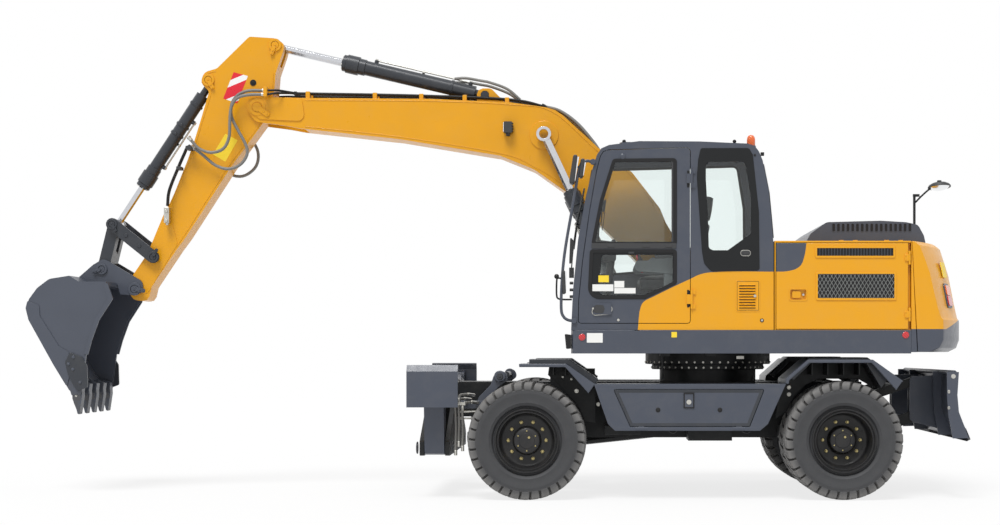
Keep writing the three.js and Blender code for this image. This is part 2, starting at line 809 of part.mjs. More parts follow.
/** How cylinders are made on a plane seen from the front, at a place along X. */
const frontPlane = (x) => ({
  along: (from, to, radius, count) => bar([x, from[0], from[1]], [x, to[0], to[1]], radius, count),
  bore: (from, to, radius) => boreBetween([x, ...from], [x, ...to], radius),
  across: (place, low, high, radius) => crossPin(place, x + low, x + high, radius, roundSides),
});

const outriggerCylinder = {
  barrel: outriggerBarrelRadius,
  rod: outriggerRodRadius,
  share: outriggerBarrelShare,
  inside: 505,
  eye: { half: outriggerEyeHalf, radius: 46, bore: 30, neck: 60 },
};

for (const side of sides) {
  const placed = (body) => onSide(body, side.way);
  const at = ([y, z]) => [outriggerX, side.way * y, z];
  const { barrel, rod } = cylinderPair(
    outriggerCylinderBase,
    outriggerCylinderPin,
    outriggerCylinder,
    frontPlane(outriggerX),
  );
  const basePin = crossPin(
    outriggerCylinderBase,
    outriggerX - outriggerPlateX - outriggerPlate,
    outriggerX + outriggerPlateX + outriggerPlate,
    legPinRadius,
  );
  part(`outrigger_leg_${side.name}`, placed(outriggerLeg()), grey(), at(outriggerPivot));
  part(`outrigger_pad_${side.name}`, placed(outriggerPad()), grey(), at(padPivot));
  part(`outrigger_barrel_${side.name}`, placed(barrel.add(basePin)), grey(), at(outriggerCylinderBase));
  part(`outrigger_rod_${side.name}`, placed(rod), chrome(), at(outriggerCylinderPin));
}

// ---------------------------------------------------------------- blade

const bladeThickness = 20;
const bladeCylinder = {
  barrel: 50,
  rod: 28,
  share: 0.75,
  inside: 300,
  eye: { half: 50, radius: 50, bore: bladePinRadius + 4, neck: 60 },
};
const bladeArmHalf = 30;
const bladePlay = 2; // between the blade's lugs and its arms

const behindRearAxle = ([x, z]) => [rearAxleX + x, z];
const bladeFace = [
  [1006, 1133],
  [993, 931],
  [1006, 781],
  [1050, 667],
  [1103, 552],
].map(behindRearAxle);
const bladeBack = [
  [953, 548],
  [912, 760],
  [901, 931],
  [901, 1133],
].map(behindRearAxle);
const bladeEnd = [...bladeFace, ...bladeBack];

/** A lug on the blade or the chassis that holds a pin between two heights. */
const lugPair = (outline, inner, outer, thickness) =>
  join(
    sidePrism(outline, inner - thickness, inner),
    sidePrism(outline, outer, outer + thickness),
  );

function blade() {
  const back = bladeFace.map(([x, z]) => [x - bladeThickness, z]).reverse();
  const board = sidePrism([...bladeFace, ...back], -halfWidth, halfWidth);
  const end = sidePrism(bladeEnd, halfWidth - 20, halfWidth);
  const rib = sidePrism(bladeEnd, bladeArmY + bladeArmHalf + 60, bladeArmY + bladeArmHalf + 75);
  const [lx, lz] = bladeLowerPin;
  const [ux, uz] = bladeUpperPin;
  const lugs = lugPair(
    [
      [lx - 45, lz - 45, 40],
      [bladeFace[1][0] - bladeThickness + 8, lz - 120],
      [bladeFace[1][0] - bladeThickness + 8, uz + 50],
      [ux - 45, uz + 45, 40],
    ],
    bladeArmY - bladeArmHalf - bladePlay,
    bladeArmY + bladeArmHalf + bladePlay,
    bladeThickness,
  );
  const pins = [bladeLowerPin, bladeUpperPin].map((place) =>
    pin(place, bladeArmY - bladeArmHalf - 25, bladeArmY + bladeArmHalf + 25, bladePinRadius),
  );
  return join(board, mirrored(join(end, rib, lugs, ...pins)));
}

/** A flat bar with round ends about two pins, seen from the side. */
function strap(from, to, radius, y0, y1) {
  const direction = new THREE.Vector2(to[0] - from[0], to[1] - from[1]).setLength(radius);
  const [dx, dz] = direction.toArray();
  const waist = [
    [from[0] - dz, from[1] + dx],
    [to[0] - dz, to[1] + dx],
    [to[0] + dz, to[1] - dx],
    [from[0] + dz, from[1] - dx],
  ];
  const ends = [from, to].map((place) => pin(place, y0, y1, radius, roundSides));
  return join(sidePrism(waist, y0, y1), ...ends);
}

/** Two flat links between two pins, with a cross tube part of the way along. */
function bladeLink(from, to, depth, tubeShare) {
  const direction = new THREE.Vector2(to[0] - from[0], to[1] - from[1]).normalize();
  const across = new THREE.Vector2(-direction.y, direction.x).multiplyScalar(depth / 2);
  const corner = ([x, z], end, side) => [
    x + direction.x * end * (depth / 2) + across.x * side,
    z + direction.y * end * (depth / 2) + across.y * side,
    depth * 0.45,
  ];
  const outline = [corner(from, -1, 1), corner(to, 1, 1), corner(to, 1, -1), corner(from, -1, -1)];
  const plate = sidePrism(outline, bladeArmY - bladeArmHalf, bladeArmY + bladeArmHalf);
  const shaft = pin(from, chassisHalf - 50, bladeArmY, bladePinRadius);
  const tube = pin(between(from, to, tubeShare), -bladeArmY, bladeArmY, bladePinRadius);
  const hole = bore(to, bladeArmY - 100, bladeArmY + 100, bladePinRadius);
  return join(tube, mirrored(join(shaft, cut(plate, hole))));
}

const bladeTubeShare = 0.8;
const bladeTube = between(bladeArmPivot, bladeLowerPin, bladeTubeShare);
const rodLugInner = bladeCylinder.eye.half + sideClearance;
const rodLug = cut(
  strap(bladeCylinderPin, bladeTube, 38, rodLugInner, rodLugInner + 15),
  bore(bladeCylinderPin, 0, bladeArmY, bladePinRadius),
);
const bladeArms = bladeLink(bladeArmPivot, bladeLowerPin, 100, bladeTubeShare).add(mirrored(rodLug));
const bladeRam = cylinderPair(bladeCylinderBase, bladeCylinderPin, bladeCylinder, sidePlane(0));

const across = ([x, z]) => [x, 0, z];
part('blade_arms', bladeArms, grey(), across(bladeArmPivot));
part('blade_links', bladeLink(bladeLinkPivot, bladeUpperPin, 80, 0.7), grey(), across(bladeLinkPivot));
part('blade', blade(), grey(), across(bladeLowerPin));
part(
  'blade_barrel',
  bladeRam.barrel.add(pin(bladeCylinderBase, -chassisHalf, chassisHalf, bladePinRadius)),
  grey(),
  across(bladeCylinderBase),
);
part('blade_rod', bladeRam.rod, chrome(), across(bladeCylinderPin));

// ---------------------------------------------------------------- upper frame

const towerInner = boomHalf + sideClearance;
const boomCylinderY = boomHalf + sideClearance + boomBarrelRadius + 12;
const lugOuter = boomCylinderY + eyeHalf + sideClearance;
const slotHalf = boomCylinderY + boomBarrelRadius + 16;
const slotRearX = -560;

function deck() {
  const slab = planPrism(
    [
      [deckFrontX, -deckHalf, 60],
      [deckRearX, -deckHalf],
      [deckRearX, deckHalf],
      [deckFrontX, deckHalf, 60],
    ],
    deckBottomZ,
    deckTopZ,
  );
  const slot = block([deckFrontX - 10, slotRearX], [-slotHalf, slotHalf], [deckBottomZ - 10, deckTopZ + 10]);
  const flange = bar([0, 0, slewSeatZ + slewPlay], [0, 0, deckBottomZ + 5], 585, roundSides);
  const tower = [
    [slotRearX - 220, deckTopZ - 60, 20],
    [slotRearX - 215, boomCylinderBase[1] + 75, 60],
    [boomCylinderBase[0] + 90, boomCylinderBase[1] + 85],
    [boomFoot[0] - 150, boomFoot[1] + 110, 60],
    [boomFoot[0] + 110, boomFoot[1] + 110, 70],
    [houseFrontX - 20, deckTopZ + 40],
    [houseFrontX - 20, deckTopZ - 60],
  ];
  const outerLug = [
    [slotRearX - 220, deckTopZ - 60, 20],
    [slotRearX - 215, boomCylinderBase[1] + 75, 60],
    [boomCylinderBase[0] + 75, boomCylinderBase[1] + 75, 60],
    [slotRearX + 120, deckTopZ - 60],
  ];
  const bracket = join(
    sidePrism(tower, towerInner, towerInner + plateThickness),
    sidePrism(outerLug, lugOuter, lugOuter + 24),
  );
  const holes = [boomFoot, boomCylinderBase].map((place) => bore(place, -halfWidth, halfWidth, towerPinRadius));
  return cut(join(cut(slab, slot), flange, mirrored(bracket)), ...holes);
}

const towerPinRadius = 42;
part('deck', deck(), grey());

function counterweight() {
  const profile = [
    [1500, 1309],
    [tailRadius - 99, 1309],
    [tailRadius - 27, 1345],
    [tailRadius, 1419],
    [tailRadius, 1595],
    [tailRadius - 18, 1622],
    [tailRadius - 45, 1743],
    [tailRadius - 99, 2020],
    [tailRadius - 171, 2250],
    [tailRadius - 216, tailTopZ],
    [1500, tailTopZ],
  ];
  const points = profile.map(([r, z]) => new THREE.Vector2(r, z));
  const ring = new THREE.LatheGeometry([...points, points[0]], 72);
  const turnedRing = solid(ring.rotateX(Math.PI / 2));
  const seam = sidePrism(
    [
      [houseRearX + 10, tailTopZ + 10],
      [tailRadius + 10, tailTopZ + 10],
      [tailRadius + 10, 1300],
      [houseRearX + 62, 1300],
    ],
    -deckHalf,
    deckHalf,
  );
  const ears = deckRearX + seamGap;
  const foot = block([ears, houseRearX + 80], [-700, 700], [1330, 1480]);
  const corner = planPrism(
    [
      [1000, -deckHalf],
      [tailRadius - 330, -deckHalf, 150],
      [tailRadius + 120, -700],
      [tailRadius + 120, 700],
      [tailRadius - 330, deckHalf, 150],
      [1000, deckHalf],
    ],
    1300,
    tailTopZ + 10,
  );
  return turnedRing.intersect(seam).intersect(corner).add(foot);
}
part('counterweight', counterweight(), yellow());

// ---------------------------------------------------------------- engine house

const sideDoorOuterY = halfWidth - 20;
const sideDoorThickness = 40;
const sideDoor = { front: houseFrontX + 14, rear: houseRearX - 26, low: 1512, high: 2269 };
const houseHalf = sideDoorOuterY - 2;
const postWidth = 45;
const sideHinge = { x: houseRearX - 14, y: sideDoorOuterY + 6 };
const sideHingeZs = [1640, 2140];
const sideHingeLength = 60;
const sideHinges = sideHingeZs.map((z) => hinge([sideHinge.x, sideHinge.y, z], [0, 0, 1], sideHingeLength));

function house() {
  const low = deckTopZ + seamGap;
  const box = block([houseFrontX, houseRearX], [-houseHalf, houseHalf], [low, houseTopZ]);
  const room = block(
    [houseFrontX + houseWall, houseRearX - houseWall],
    [-houseHalf + houseWall, houseHalf - houseWall],
    [low - 1, houseTopZ - houseWall],
  );
  const top = block(
    [houseFrontX + 420, houseRearX - houseWall],
    [-hoodHalf + 60, hoodHalf - 60],
    [houseTopZ - houseWall - 1, houseTopZ + 1],
  );
  const doorway = block(
    [sideDoor.front + postWidth, sideDoor.rear - postWidth],
    [-houseHalf - 1, houseHalf + 1],
    [sideDoor.low + 30, sideDoor.high - 30],
  );
  const recess = mirrored(
    block(
      [sideDoor.front - doorGap, houseRearX + 1],
      [sideDoorOuterY - sideDoorThickness - doorGap, houseHalf + 1],
      [sideDoor.low - doorGap, sideDoor.high + doorGap],
    ),
  );
  const leaf = (z) =>
    [-1, 1].map((end) =>
      block(
        [sideHinge.x - 5, sideHinge.x + hingeRadius],
        [sideDoorOuterY - sideDoorThickness - doorGap - 1, sideHinge.y],
        [z + end * 45.2 - 14, z + end * 45.2 + 14],
      ),
    );
  const leaves = sideHingeZs.flatMap(leaf);
  const hoodSeats = hoodHinges.map((each) => each.fixed);
  const hoodPads = hoodHingeXs.flatMap((x) =>
    [-1, 1].map((end) =>
      block(
        [x + end * 60.4 - 18, x + end * 60.4 + 18],
        [-hoodHinge.y - hingeRadius, -hoodHinge.y + hingeRadius - 4],
        [houseTopZ - 5, hoodHinge.z],
      ),
    ),
  );
  return join(
    cut(box, room, top, doorway, recess),
    mirrored(join(...leaves, ...sideHinges.map((each) => each.fixed))),
    ...hoodSeats,
    ...hoodPads,
  );
}

const hoodFrontX = houseFrontX + 318;
const hoodRearX = houseRearX + 199;
const hoodSeatZ = houseTopZ + doorGap;
const hoodWall = 25;
const hoodHinge = { y: hoodHalf + 16, z: houseTopZ + 18 };
const hoodHingeXs = [houseFrontX + 700, houseFrontX + 1110];
const hoodHingeLength = 84;
const hoodHinges = hoodHingeXs.map((x) => hinge([x, -hoodHinge.y, hoodHinge.z], [1, 0, 0], hoodHingeLength));

const hoodOutline = [
  [hoodFrontX, hoodSeatZ],
  [hoodFrontX + 45, hoodSeatZ + 82, 40],
  [hoodFrontX + 118, hoodSeatZ + 136, 60],
  [hoodFrontX + 190, hoodSeatZ + 186, 60],
  [hoodFrontX + 679, hoodSeatZ + 199],
  [hoodFrontX + 906, hoodSeatZ + 186, 60],
  [hoodRearX - 68, hoodSeatZ + 163, 50],
  [hoodRearX - 14, hoodSeatZ + 64, 30],
  [hoodRearX, hoodSeatZ],
];

function engineHood() {
  const outer = sidePrism(hoodOutline, -hoodHalf, hoodHalf);
  const low = [...inset(hoodOutline, hoodWall)];
  low[0][1] = hoodSeatZ - 10;
  low[low.length - 1][1] = hoodSeatZ - 10;
  const inner = sidePrism(low, -hoodHalf + hoodWall, hoodHalf - hoodWall);
  const leaves = hoodHingeXs.map((x) =>
    block(
      [x - hoodHingeLength / 2, x + hoodHingeLength / 2],
      [-hoodHinge.y, -hoodHalf + 5],
      [hoodHinge.z - 6, hoodHinge.z + 10],
    ),
  );
  return join(cut(outer, inner), ...leaves, ...hoodHinges.map((each) => each.moving));
}

function serviceDoor() {
  const panel = block(
    [sideDoor.front, sideDoor.rear],
    [sideDoorOuterY - sideDoorThickness, sideDoorOuterY],
    [sideDoor.low, sideDoor.high],
  );
  const recess = block(
    [sideDoor.front + 119, sideDoor.front + 268],
    [sideDoorOuterY - 25, sideDoorOuterY + 1],
    [1767, 1864],
  );
  const leaves = sideHingeZs.map((z) =>
    block(
      [sideDoor.rear - 30, sideHinge.x],
      [sideDoorOuterY - 12, sideHinge.y + 4],
      [z - sideHingeLength / 2, z + sideHingeLength / 2],
    ),
  );
  return join(cut(panel, recess), ...leaves, ...sideHinges.map((each) => each.moving));
}

part('engine_house', house(), yellow());
part('engine_hood', engineHood(), grey(), [0, -hoodHinge.y, hoodHinge.z]);
for (const side of sides) {
  const origin = [sideHinge.x, side.way * sideHinge.y, 0];
  part(`service_door_${side.name}`, onSide(serviceDoor(), side.way), yellow(), origin);
}
const engineTop = houseTopZ - 130;
part(
  'engine',
  block([houseFrontX + 330, houseRearX - 90], [-380, 620], [deckTopZ + seamGap, engineTop]),
  black(),
);

// ---------------------------------------------------------------- tanks on the right

const tankInnerY = slotHalf + 60;
const tankFrontX = -430;
const lockerTopZ = 1920;

function tanks() {
  const outline = [
    [deckFrontX + 30, deckTopZ + seamGap],
    [deckFrontX + 45, lockerTopZ - 120, 60],
    [deckFrontX + 150, lockerTopZ, 60],
    [tankFrontX - 60, lockerTopZ],
    [tankFrontX, houseTopZ - 40, 60],
    [houseFrontX - 10, houseTopZ - 20],
    [houseFrontX - 10, deckTopZ + seamGap],
  ];
  return sidePrism(outline, tankInnerY, deckHalf);
}
part('tanks', tanks(), yellow());

// ---------------------------------------------------------------- cab

const cabOuterY = -(halfWidth - 30);
const cabInnerY = -(slotHalf + 40);
const cabFloorZ = deckTopZ + seamGap;
const floorThickness = 55;
const cabDoorThickness = 40;

const cabOutline = [
  [-1281, cabFloorZ],
  [-1264, 1855],
  [-1220, 2295],
  [-1158, 2647],
  [-1096, 2912],
  [-1030, 3125, 130],
  [-680, 3170],
  [-146, 3167],
  [350, 3145, 110],
  [409, 3000],
  [462, 2735],
  [488, 2471],
  [506, 2251],
  [506, cabFloorZ],
];
const doorOutline = [
  [-1215, 1565, 20],
  [-1211, 1767],
  [-1176, 2119],
  [-1114, 2559],
  [-1052, 2912],
  [-1006, 3088, 70],
  [-232, 3110, 30],
  [-232, 1565, 20],
];
const upperPane = [
  [-905, 3005, 25],
  [-357, 3010, 25],
  [-357, 2260, 20],
  [-1093, 2260, 20],
  [-1017, 2647],
];
const lowerPane = [
  [-1106, 2205, 20],
  [-357, 2205, 20],
  [-357, 1917, 20],
  [-630, 1785, 40],
  [-1125, 1785, 90],
];
const rearSidePane = [
  [-110, 3060, 30],
  [262, 3045, 60],
  [325, 2640],
  [330, 2070, 25],
  [10, 2070, 30],
  [-75, 2140, 40],
];
const rightPane = [
  [-985, 3010, 60],
  [262, 3045, 60],
  [325, 2640],
  [330, 2120, 30],
  [-1130, 2000, 40],
  [-1085, 2500],
];

const cabHinge = { x: -217, y: cabOuterY - 12 };
const cabHingeZs = [1775, 2840];
const cabHingeLength = 84;
const cabHinges = cabHingeZs.map((z) => hinge([cabHinge.x, cabHinge.y, z], [0, 0, 1], cabHingeLength));

function cabShell() {
  const outer = sidePrism(cabOutline, cabOuterY, cabInnerY);
  const hatch = planPrism(
    [
      [-850, cabOuterY + 150, 60],
      [-430, cabOuterY + 150, 60],
      [-430, cabInnerY - 150, 60],
      [-850, cabInnerY - 150, 60],
    ],
    3120,
    3180,
  );
  const inner = inset(cabOutline, cabWall);
  inner[0][1] = cabFloorZ + floorThickness;
  inner[inner.length - 1][1] = cabFloorZ + floorThickness;
  const room = sidePrism(inner, cabOuterY + cabWall, cabInnerY - cabWall);
  const doorway = sidePrism(inset(doorOutline, -doorGap), cabOuterY - 1, cabOuterY + cabWall + 1);
  const rearSide = sidePrism(rearSidePane, cabOuterY - 1, cabOuterY + cabWall + 1);
  const right = sidePrism(rightPane, cabInnerY - cabWall - 1, cabInnerY + 1);
  const paneY = [cabOuterY + 90, cabInnerY - 90];
  const frontOpening = (low, high) =>
    frontPrism(
      [
        [paneY[0], low, 50],
        [paneY[1], low, 50],
        [paneY[1], high, 50],
        [paneY[0], high, 50],
      ],
      -1400,
      -900,
    );
  const rear = frontPrism(
    [
      [paneY[0], 2330, 50],
      [paneY[1], 2330, 50],
      [paneY[1], 2980, 50],
      [paneY[0], 2980, 50],
    ],
    350,
    600,
  );
  const leaves = cabHingeZs.flatMap((z) =>
    [-1, 1].map((end) =>
      block(
        [cabHinge.x - 4, cabHinge.x + 34],
        [cabHinge.y, cabOuterY + 3],
        [z + end * 63.4 - 20, z + end * 63.4 + 20],
      ),
    ),
  );
  const windows = [frontOpening(1990, 2930), frontOpening(1640, 1910), rear, rearSide, right];
  const shell = cut(join(outer, hatch), room, doorway, ...windows);
  return join(shell, ...leaves, ...cabHinges.map((each) => each.fixed));
}

function cabDoor() {
  const low = cabOuterY;
  const high = cabOuterY + cabDoorThickness;
  const panel = sidePrism(doorOutline, low, high);
  const panes = [upperPane, lowerPane].map((pane) => sidePrism(pane, low - 1, high + 1));
  const leaves = cabHingeZs.flatMap((z) => {
    const height = [z - cabHingeLength / 2, z + cabHingeLength / 2];
    return [
      block([cabHinge.x - 46, cabHinge.x], [cabHinge.y - 3, cabOuterY - 1.5], height),
      block([cabHinge.x - 46, cabHinge.x - 16], [cabHinge.y - 3, cabOuterY + 3], height),
    ];
  });
  const handle = block([-1085, -925], [cabOuterY - 16, cabOuterY + 5], [1640, 1740]);
  return join(cut(panel, ...panes), handle, ...leaves, ...cabHinges.map((each) => each.moving));
}

part('cab_shell', cabShell(), grey());
part('cab_door', cabDoor(), grey(), [cabHinge.x, cabHinge.y, 0]);

const seatY = (cabOuterY + cabInnerY) / 2;
const seatX = -405;
const cabInsideZ = cabFloorZ + floorThickness + seamGap;

function seat() {
  const base = block([seatX - 170, seatX + 180], [seatY - 140, seatY + 140], [cabInsideZ, cabInsideZ + 290]);
  const cushion = sidePrism(
    [
      [seatX - 290, cabInsideZ + 285, 40],
      [seatX + 230, cabInsideZ + 285],
      [seatX + 230, cabInsideZ + 400],
      [seatX - 290, cabInsideZ + 420, 50],
    ],
    seatY - 245,
    seatY + 245,
  );
  const back = sidePrism(
    [
      [seatX + 150, cabInsideZ + 320],
      [seatX + 250, cabInsideZ + 300, 40],
      [seatX + 380, cabInsideZ + 930, 30],
      [seatX + 280, cabInsideZ + 945, 40],
    ],
    seatY - 235,
    seatY + 235,
  );
  const headrest = sidePrism(
    [
      [seatX + 285, cabInsideZ + 925],
      [seatX + 375, cabInsideZ + 915],
      [seatX + 410, cabInsideZ + 1140, 30],
      [seatX + 325, cabInsideZ + 1155, 40],
    ],
    seatY - 130,
    seatY + 130,
  );
  return join(base, cushion, back, headrest);
}

function controls() {
  const panel = join(
    sidePrism(
      [
        [seatX - 330, cabInsideZ + 470, 40],
        [seatX - 300, cabInsideZ + 560, 30],
        [seatX + 150, cabInsideZ + 600, 40],
        [seatX + 150, cabInsideZ + 430, 30],
      ],
      seatY + 256,
      seatY + 256 + 70,
    ),
    bar(
      [seatX - 270, seatY + 291, cabInsideZ + 540],
      [seatX - 300, seatY + 291, cabInsideZ + 700],
      20,
      hingeSides,
    ),
    block([seatX - 60, seatX + 60], [seatY + 262, seatY + 310], [cabInsideZ, cabInsideZ + 500]),
  );
  const mirrorAcrossSeat = panel.translate([0, -seatY, 0]).mirror([0, 1, 0]).translate([0, seatY, 0]);
  const floor = block(
    [seatX - 640, seatX + 60],
    [seatY - 310, seatY + 310],
    [cabInsideZ, cabInsideZ + 8],
  );
  const floorCut = block(
    [seatX - 180, seatX + 200],
    [seatY - 150, seatY + 150],
    [cabInsideZ - 1, cabInsideZ + 20],
  );
  const column = bar([seatX - 600, seatY, cabInsideZ + 7], [seatX - 500, seatY, cabInsideZ + 720], 45);
  const wheelAt = [seatX - 500, seatY, cabInsideZ + 725];
  const rim = new THREE.TorusGeometry(175, 14, 6, roundSides).rotateY(0.14).translate(...wheelAt);
  const spoke = block(
    [wheelAt[0] - 25, wheelAt[0] + 25],
    [wheelAt[1] - 176, wheelAt[1] + 176],
    [wheelAt[2] - 8, wheelAt[2] + 8],
  );
  return join(cut(floor, floorCut), column, solid(rim), spoke, panel, mirrorAcrossSeat);
}

part('seat', seat(), fabric());
part('cab_controls', controls(), black());

// ---------------------------------------------------------------- boom and its cylinders

const footRadius = 140;
const headRadius = 110;
const slotRadius = 490; // of the room for the arm in the boom's head
const bossReach = 18; // of a pin's boss beyond the boom's side

const boomOutline = [
  [boomTip[0] - headRadius, boomTip[1] - 5, 95],
  [boomTip[0] - 20, boomTip[1] - headRadius - 25, 60],
  [-3986, 3440],
  [-3845, 3414],
  [-2904, 3312],
  [-1964, 3157],
  [-1640, 3026, 200],
  [-1300, 2785],
  [boomFoot[0] - 89, boomFoot[1] - 108],
  [boomFoot[0] + 30, boomFoot[1] - 130],
  [boomFoot[0] + 135, boomFoot[1] + 30],
  [-393, 2503],
  [-459, 2663],
  [-720, 3000],
  [-1023, 3218],
  [-1440, 3600, 300],
  [-1870, 3660],
  [-2622, 3693],
  [-3845, 3702],
  [boomTip[0] + 40, boomTip[1] + headRadius - 10],
  [boomTip[0] - headRadius + 25, boomTip[1] + headRadius - 25, 60],
];

function boom() {
  const body = sidePrism(boomOutline, -boomHalf, boomHalf);
  const armRoom = pin(boomTip, -armHalf - sideClearance, armHalf + sideClearance, slotRadius, 32);
  const cylinderBoss = pin(boomCylinderPin, boomHalf - 10, boomHalf + bossReach, 62, roundSides);
  const foot = pin(boomFoot, -boomHalf, boomHalf, footRadius, roundSides);
  const footPin = pin(boomFoot, -towerInner - plateThickness, towerInner + plateThickness, towerPinRadius);
  const armCylinderLugs = lugPair(
    [
      [armCylinderBase[0] - 75, armCylinderBase[1] - 90],
      [armCylinderBase[0] + 230, armCylinderBase[1] - 110],
      [armCylinderBase[0] + 60, armCylinderBase[1] + 62, 55],
      [armCylinderBase[0] - 75, armCylinderBase[1] + 62, 55],
    ],
    -eyeHalf - 5,
    eyeHalf + 5,
    plateThickness - 5,
  );
  const lugHole = bore(armCylinderBase, -100, 100, pinRadius);
  const tipHole = bore(boomTip, -boomHalf - 5, boomHalf + 5, armPinRadius);
  return cut(
    join(cut(body, armRoom), foot, footPin, mirrored(cylinderBoss), armCylinderLugs),
    lugHole,
    tipHole,
  );
}

const armPinRadius = 44;
part('boom', boom(), yellow(), across(boomFoot));

const eye = (radius, neck, half = eyeHalf) => ({ radius, neck, half, bore: pinRadius + 6 });
const boomRam = cylinderPair(
  boomCylinderBase,
  boomCylinderPin,
  { barrel: boomBarrelRadius, rod: 40, share: 0.69, inside: 465, eye: eye(70, 112) },
  sidePlane(boomCylinderY),
);
const boomBasePin = pin(boomCylinderBase, -lugOuter - 24, lugOuter + 24, towerPinRadius);
part(
  'boom_barrels',
  join(mirrored(boomRam.barrel), boomBasePin),
  grey(),
  across(boomCylinderBase),
);
for (const side of sides) {
  const origin = [boomCylinderPin[0], side.way * boomCylinderY, boomCylinderPin[1]];
  part(`boom_rod_${side.name}`, onSide(boomRam.rod, side.way), chrome(), origin);
}

// ---------------------------------------------------------------- arm and its cylinder

const armOutline = [
  [-4334, 4286, 40],
  [-4090, 4270, 60],
  [-3998, 4215, 50],
  [-4020, 4130],
  [-4085, 3940],
  [-4098, 3773],
  [-4177, 3506, 80],
  [-4507, 3054],
  [-4930, 2396],
  [-5020, 2274],
  [-5255, 1922],
  [bucketPivot[0] + 120, bucketPivot[1] - 120, 60],
  [bucketPivot[0] - 20, bucketPivot[1] - 100, 60],
  [bucketPivot[0] - 95, bucketPivot[1] + 30, 60],
  [-5300, 2230],
  [-5256, 2330, 60],
  [-5134, 2625],
  [-5068, 2738],
  [-4918, 3114],
  [-4861, 3274],
  [-4786, 3519],
  [-4712, 3770, 30],
  [-4796, 3850, 60],
  [-4760, 3950, 70],
  [-4640, 3985, 50],
];

function arm() {
  const body = sidePrism(armOutline, -armHalf, armHalf);
  const shaft = pin(boomTip, -boomHalf - 20, boomHalf + 20, armPinRadius);
  const rodRoom = armPlateRoom(armCylinderPin, [
    [armCylinderPin[0] - 120, armCylinderPin[1] - 120, 80],
    [armCylinderPin[0] + 30, armCylinderPin[1] - 190],
    [armCylinderPin[0] + 300, armCylinderPin[1] - 190],
    [armCylinderPin[0] + 300, armCylinderPin[1] + 200],
    [armCylinderPin[0] - 120, armCylinderPin[1] + 200],
  ]);
  const barrelRoom = armPlateRoom(bucketCylinderBase, [
    [bucketCylinderBase[0] - 200, bucketCylinderBase[1] + 200],
    [bucketCylinderBase[0] - 300, bucketCylinderBase[1] - 420],
    [bucketCylinderBase[0] - 30, bucketCylinderBase[1] - 300],
    [bucketCylinderBase[0] + 95, bucketCylinderBase[1] - 60, 80],
    [bucketCylinderBase[0] + 95, bucketCylinderBase[1] + 200],
  ]);
  const holes = [
    bore(armCylinderPin, -armHalf - 5, armHalf + 5, pinRadius),
    bore(bucketCylinderBase, -armHalf - 5, armHalf + 5, pinRadius),
    bore(rockerPivot, -armHalf - 5, armHalf + 5, pinRadius),
    bore(bucketPivot, -armHalf - 5, armHalf + 5, pinRadius),
  ];
  return cut(join(body, shaft), rodRoom, barrelRoom, ...holes);
}

/** Room between the arm's two side plates for the eye of a cylinder. */
const armPlateRoom = (place, outline) => sidePrism(outline, -eyeHalf - 6, eyeHalf + 6);

part('arm', arm(), yellow(), across(boomTip));

const armRam = cylinderPair(
  armCylinderBase,
  armCylinderPin,
  { barrel: armBarrelRadius, rod: 37, share: 0.665, inside: 535, eye: eye(62, 100) },
  sidePlane(0),
);
const armBasePin = pin(armCylinderBase, -eyeHalf - 40, eyeHalf + 40, pinRadius);
part('arm_barrel', armRam.barrel.add(armBasePin), grey(), across(armCylinderBase));
part('arm_rod', armRam.rod, chrome(), across(armCylinderPin));

// ---------------------------------------------------------------- bucket and its linkage

const earInner = armHalf + sideClearance;
const earThickness = 25;
const rockerInner = earInner + earThickness + sideClearance;
const rockerThickness = 22;
const bucketPlate = 25;

const bucketRam = cylinderPair(
  bucketCylinderBase,
  rockerTip,
  { barrel: bucketBarrelRadius, rod: 31, share: 0.71, inside: 585, eye: eye(56, 150, 36) },
  sidePlane(0),
);
const bucketBasePin = pin(bucketCylinderBase, -armHalf, armHalf, pinRadius);
part('bucket_barrel', bucketRam.barrel.add(bucketBasePin), grey(), across(bucketCylinderBase));
part('bucket_rod', bucketRam.rod, chrome(), across(rockerTip));

function rocker() {
  const plate = strap(rockerPivot, rockerTip, 58, rockerInner, rockerInner + rockerThickness);
  const hole = bore(rockerTip, -400, 400, linkPinRadius);
  const shaft = pin(rockerPivot, -rockerInner - 5, rockerInner + 5, pinRadius);
  return join(mirrored(cut(plate, hole)), shaft);
}

function bucketLink() {
  const gap = 42; // half the room for the rod's eye
  const eyes = strap(rockerTip, between(rockerTip, linkPivot, 0.7), 55, gap, armHalf - 5);
  const root = strap(between(rockerTip, linkPivot, 0.62), linkPivot, 55, -armHalf + 5, armHalf - 5);
  const stub = pin(rockerTip, gap + 5, rockerInner + rockerThickness, linkPinRadius);
  return join(root, mirrored(join(eyes, stub)));
}

const linkPinRadius = 34;
part('rocker', rocker(), grey(), across(rockerPivot));
part('bucket_link', bucketLink(), grey(), across(rockerTip));

const lipX = -5800;
const lipZ = 1000;
const toothTip = [-5825, 736];
const bucketOutline = [
  [-5580, 1958],
  [-5530, 1798],
  [-5659, 1604],
  [-5724, 1419],
  [-5761, 1281],
  [-5779, 1142],
  [lipX, lipZ],
  [-5850, 905],
  [-5918, 958],
  [-6056, 1188],
  [-6287, 1604],
  [-6315, 1715, 60],
  [-6287, 1798],
  [-6213, 1899, 80],
  [-6102, 1983, 80],
  [-5918, 2012],
  [-5830, 1958],
];

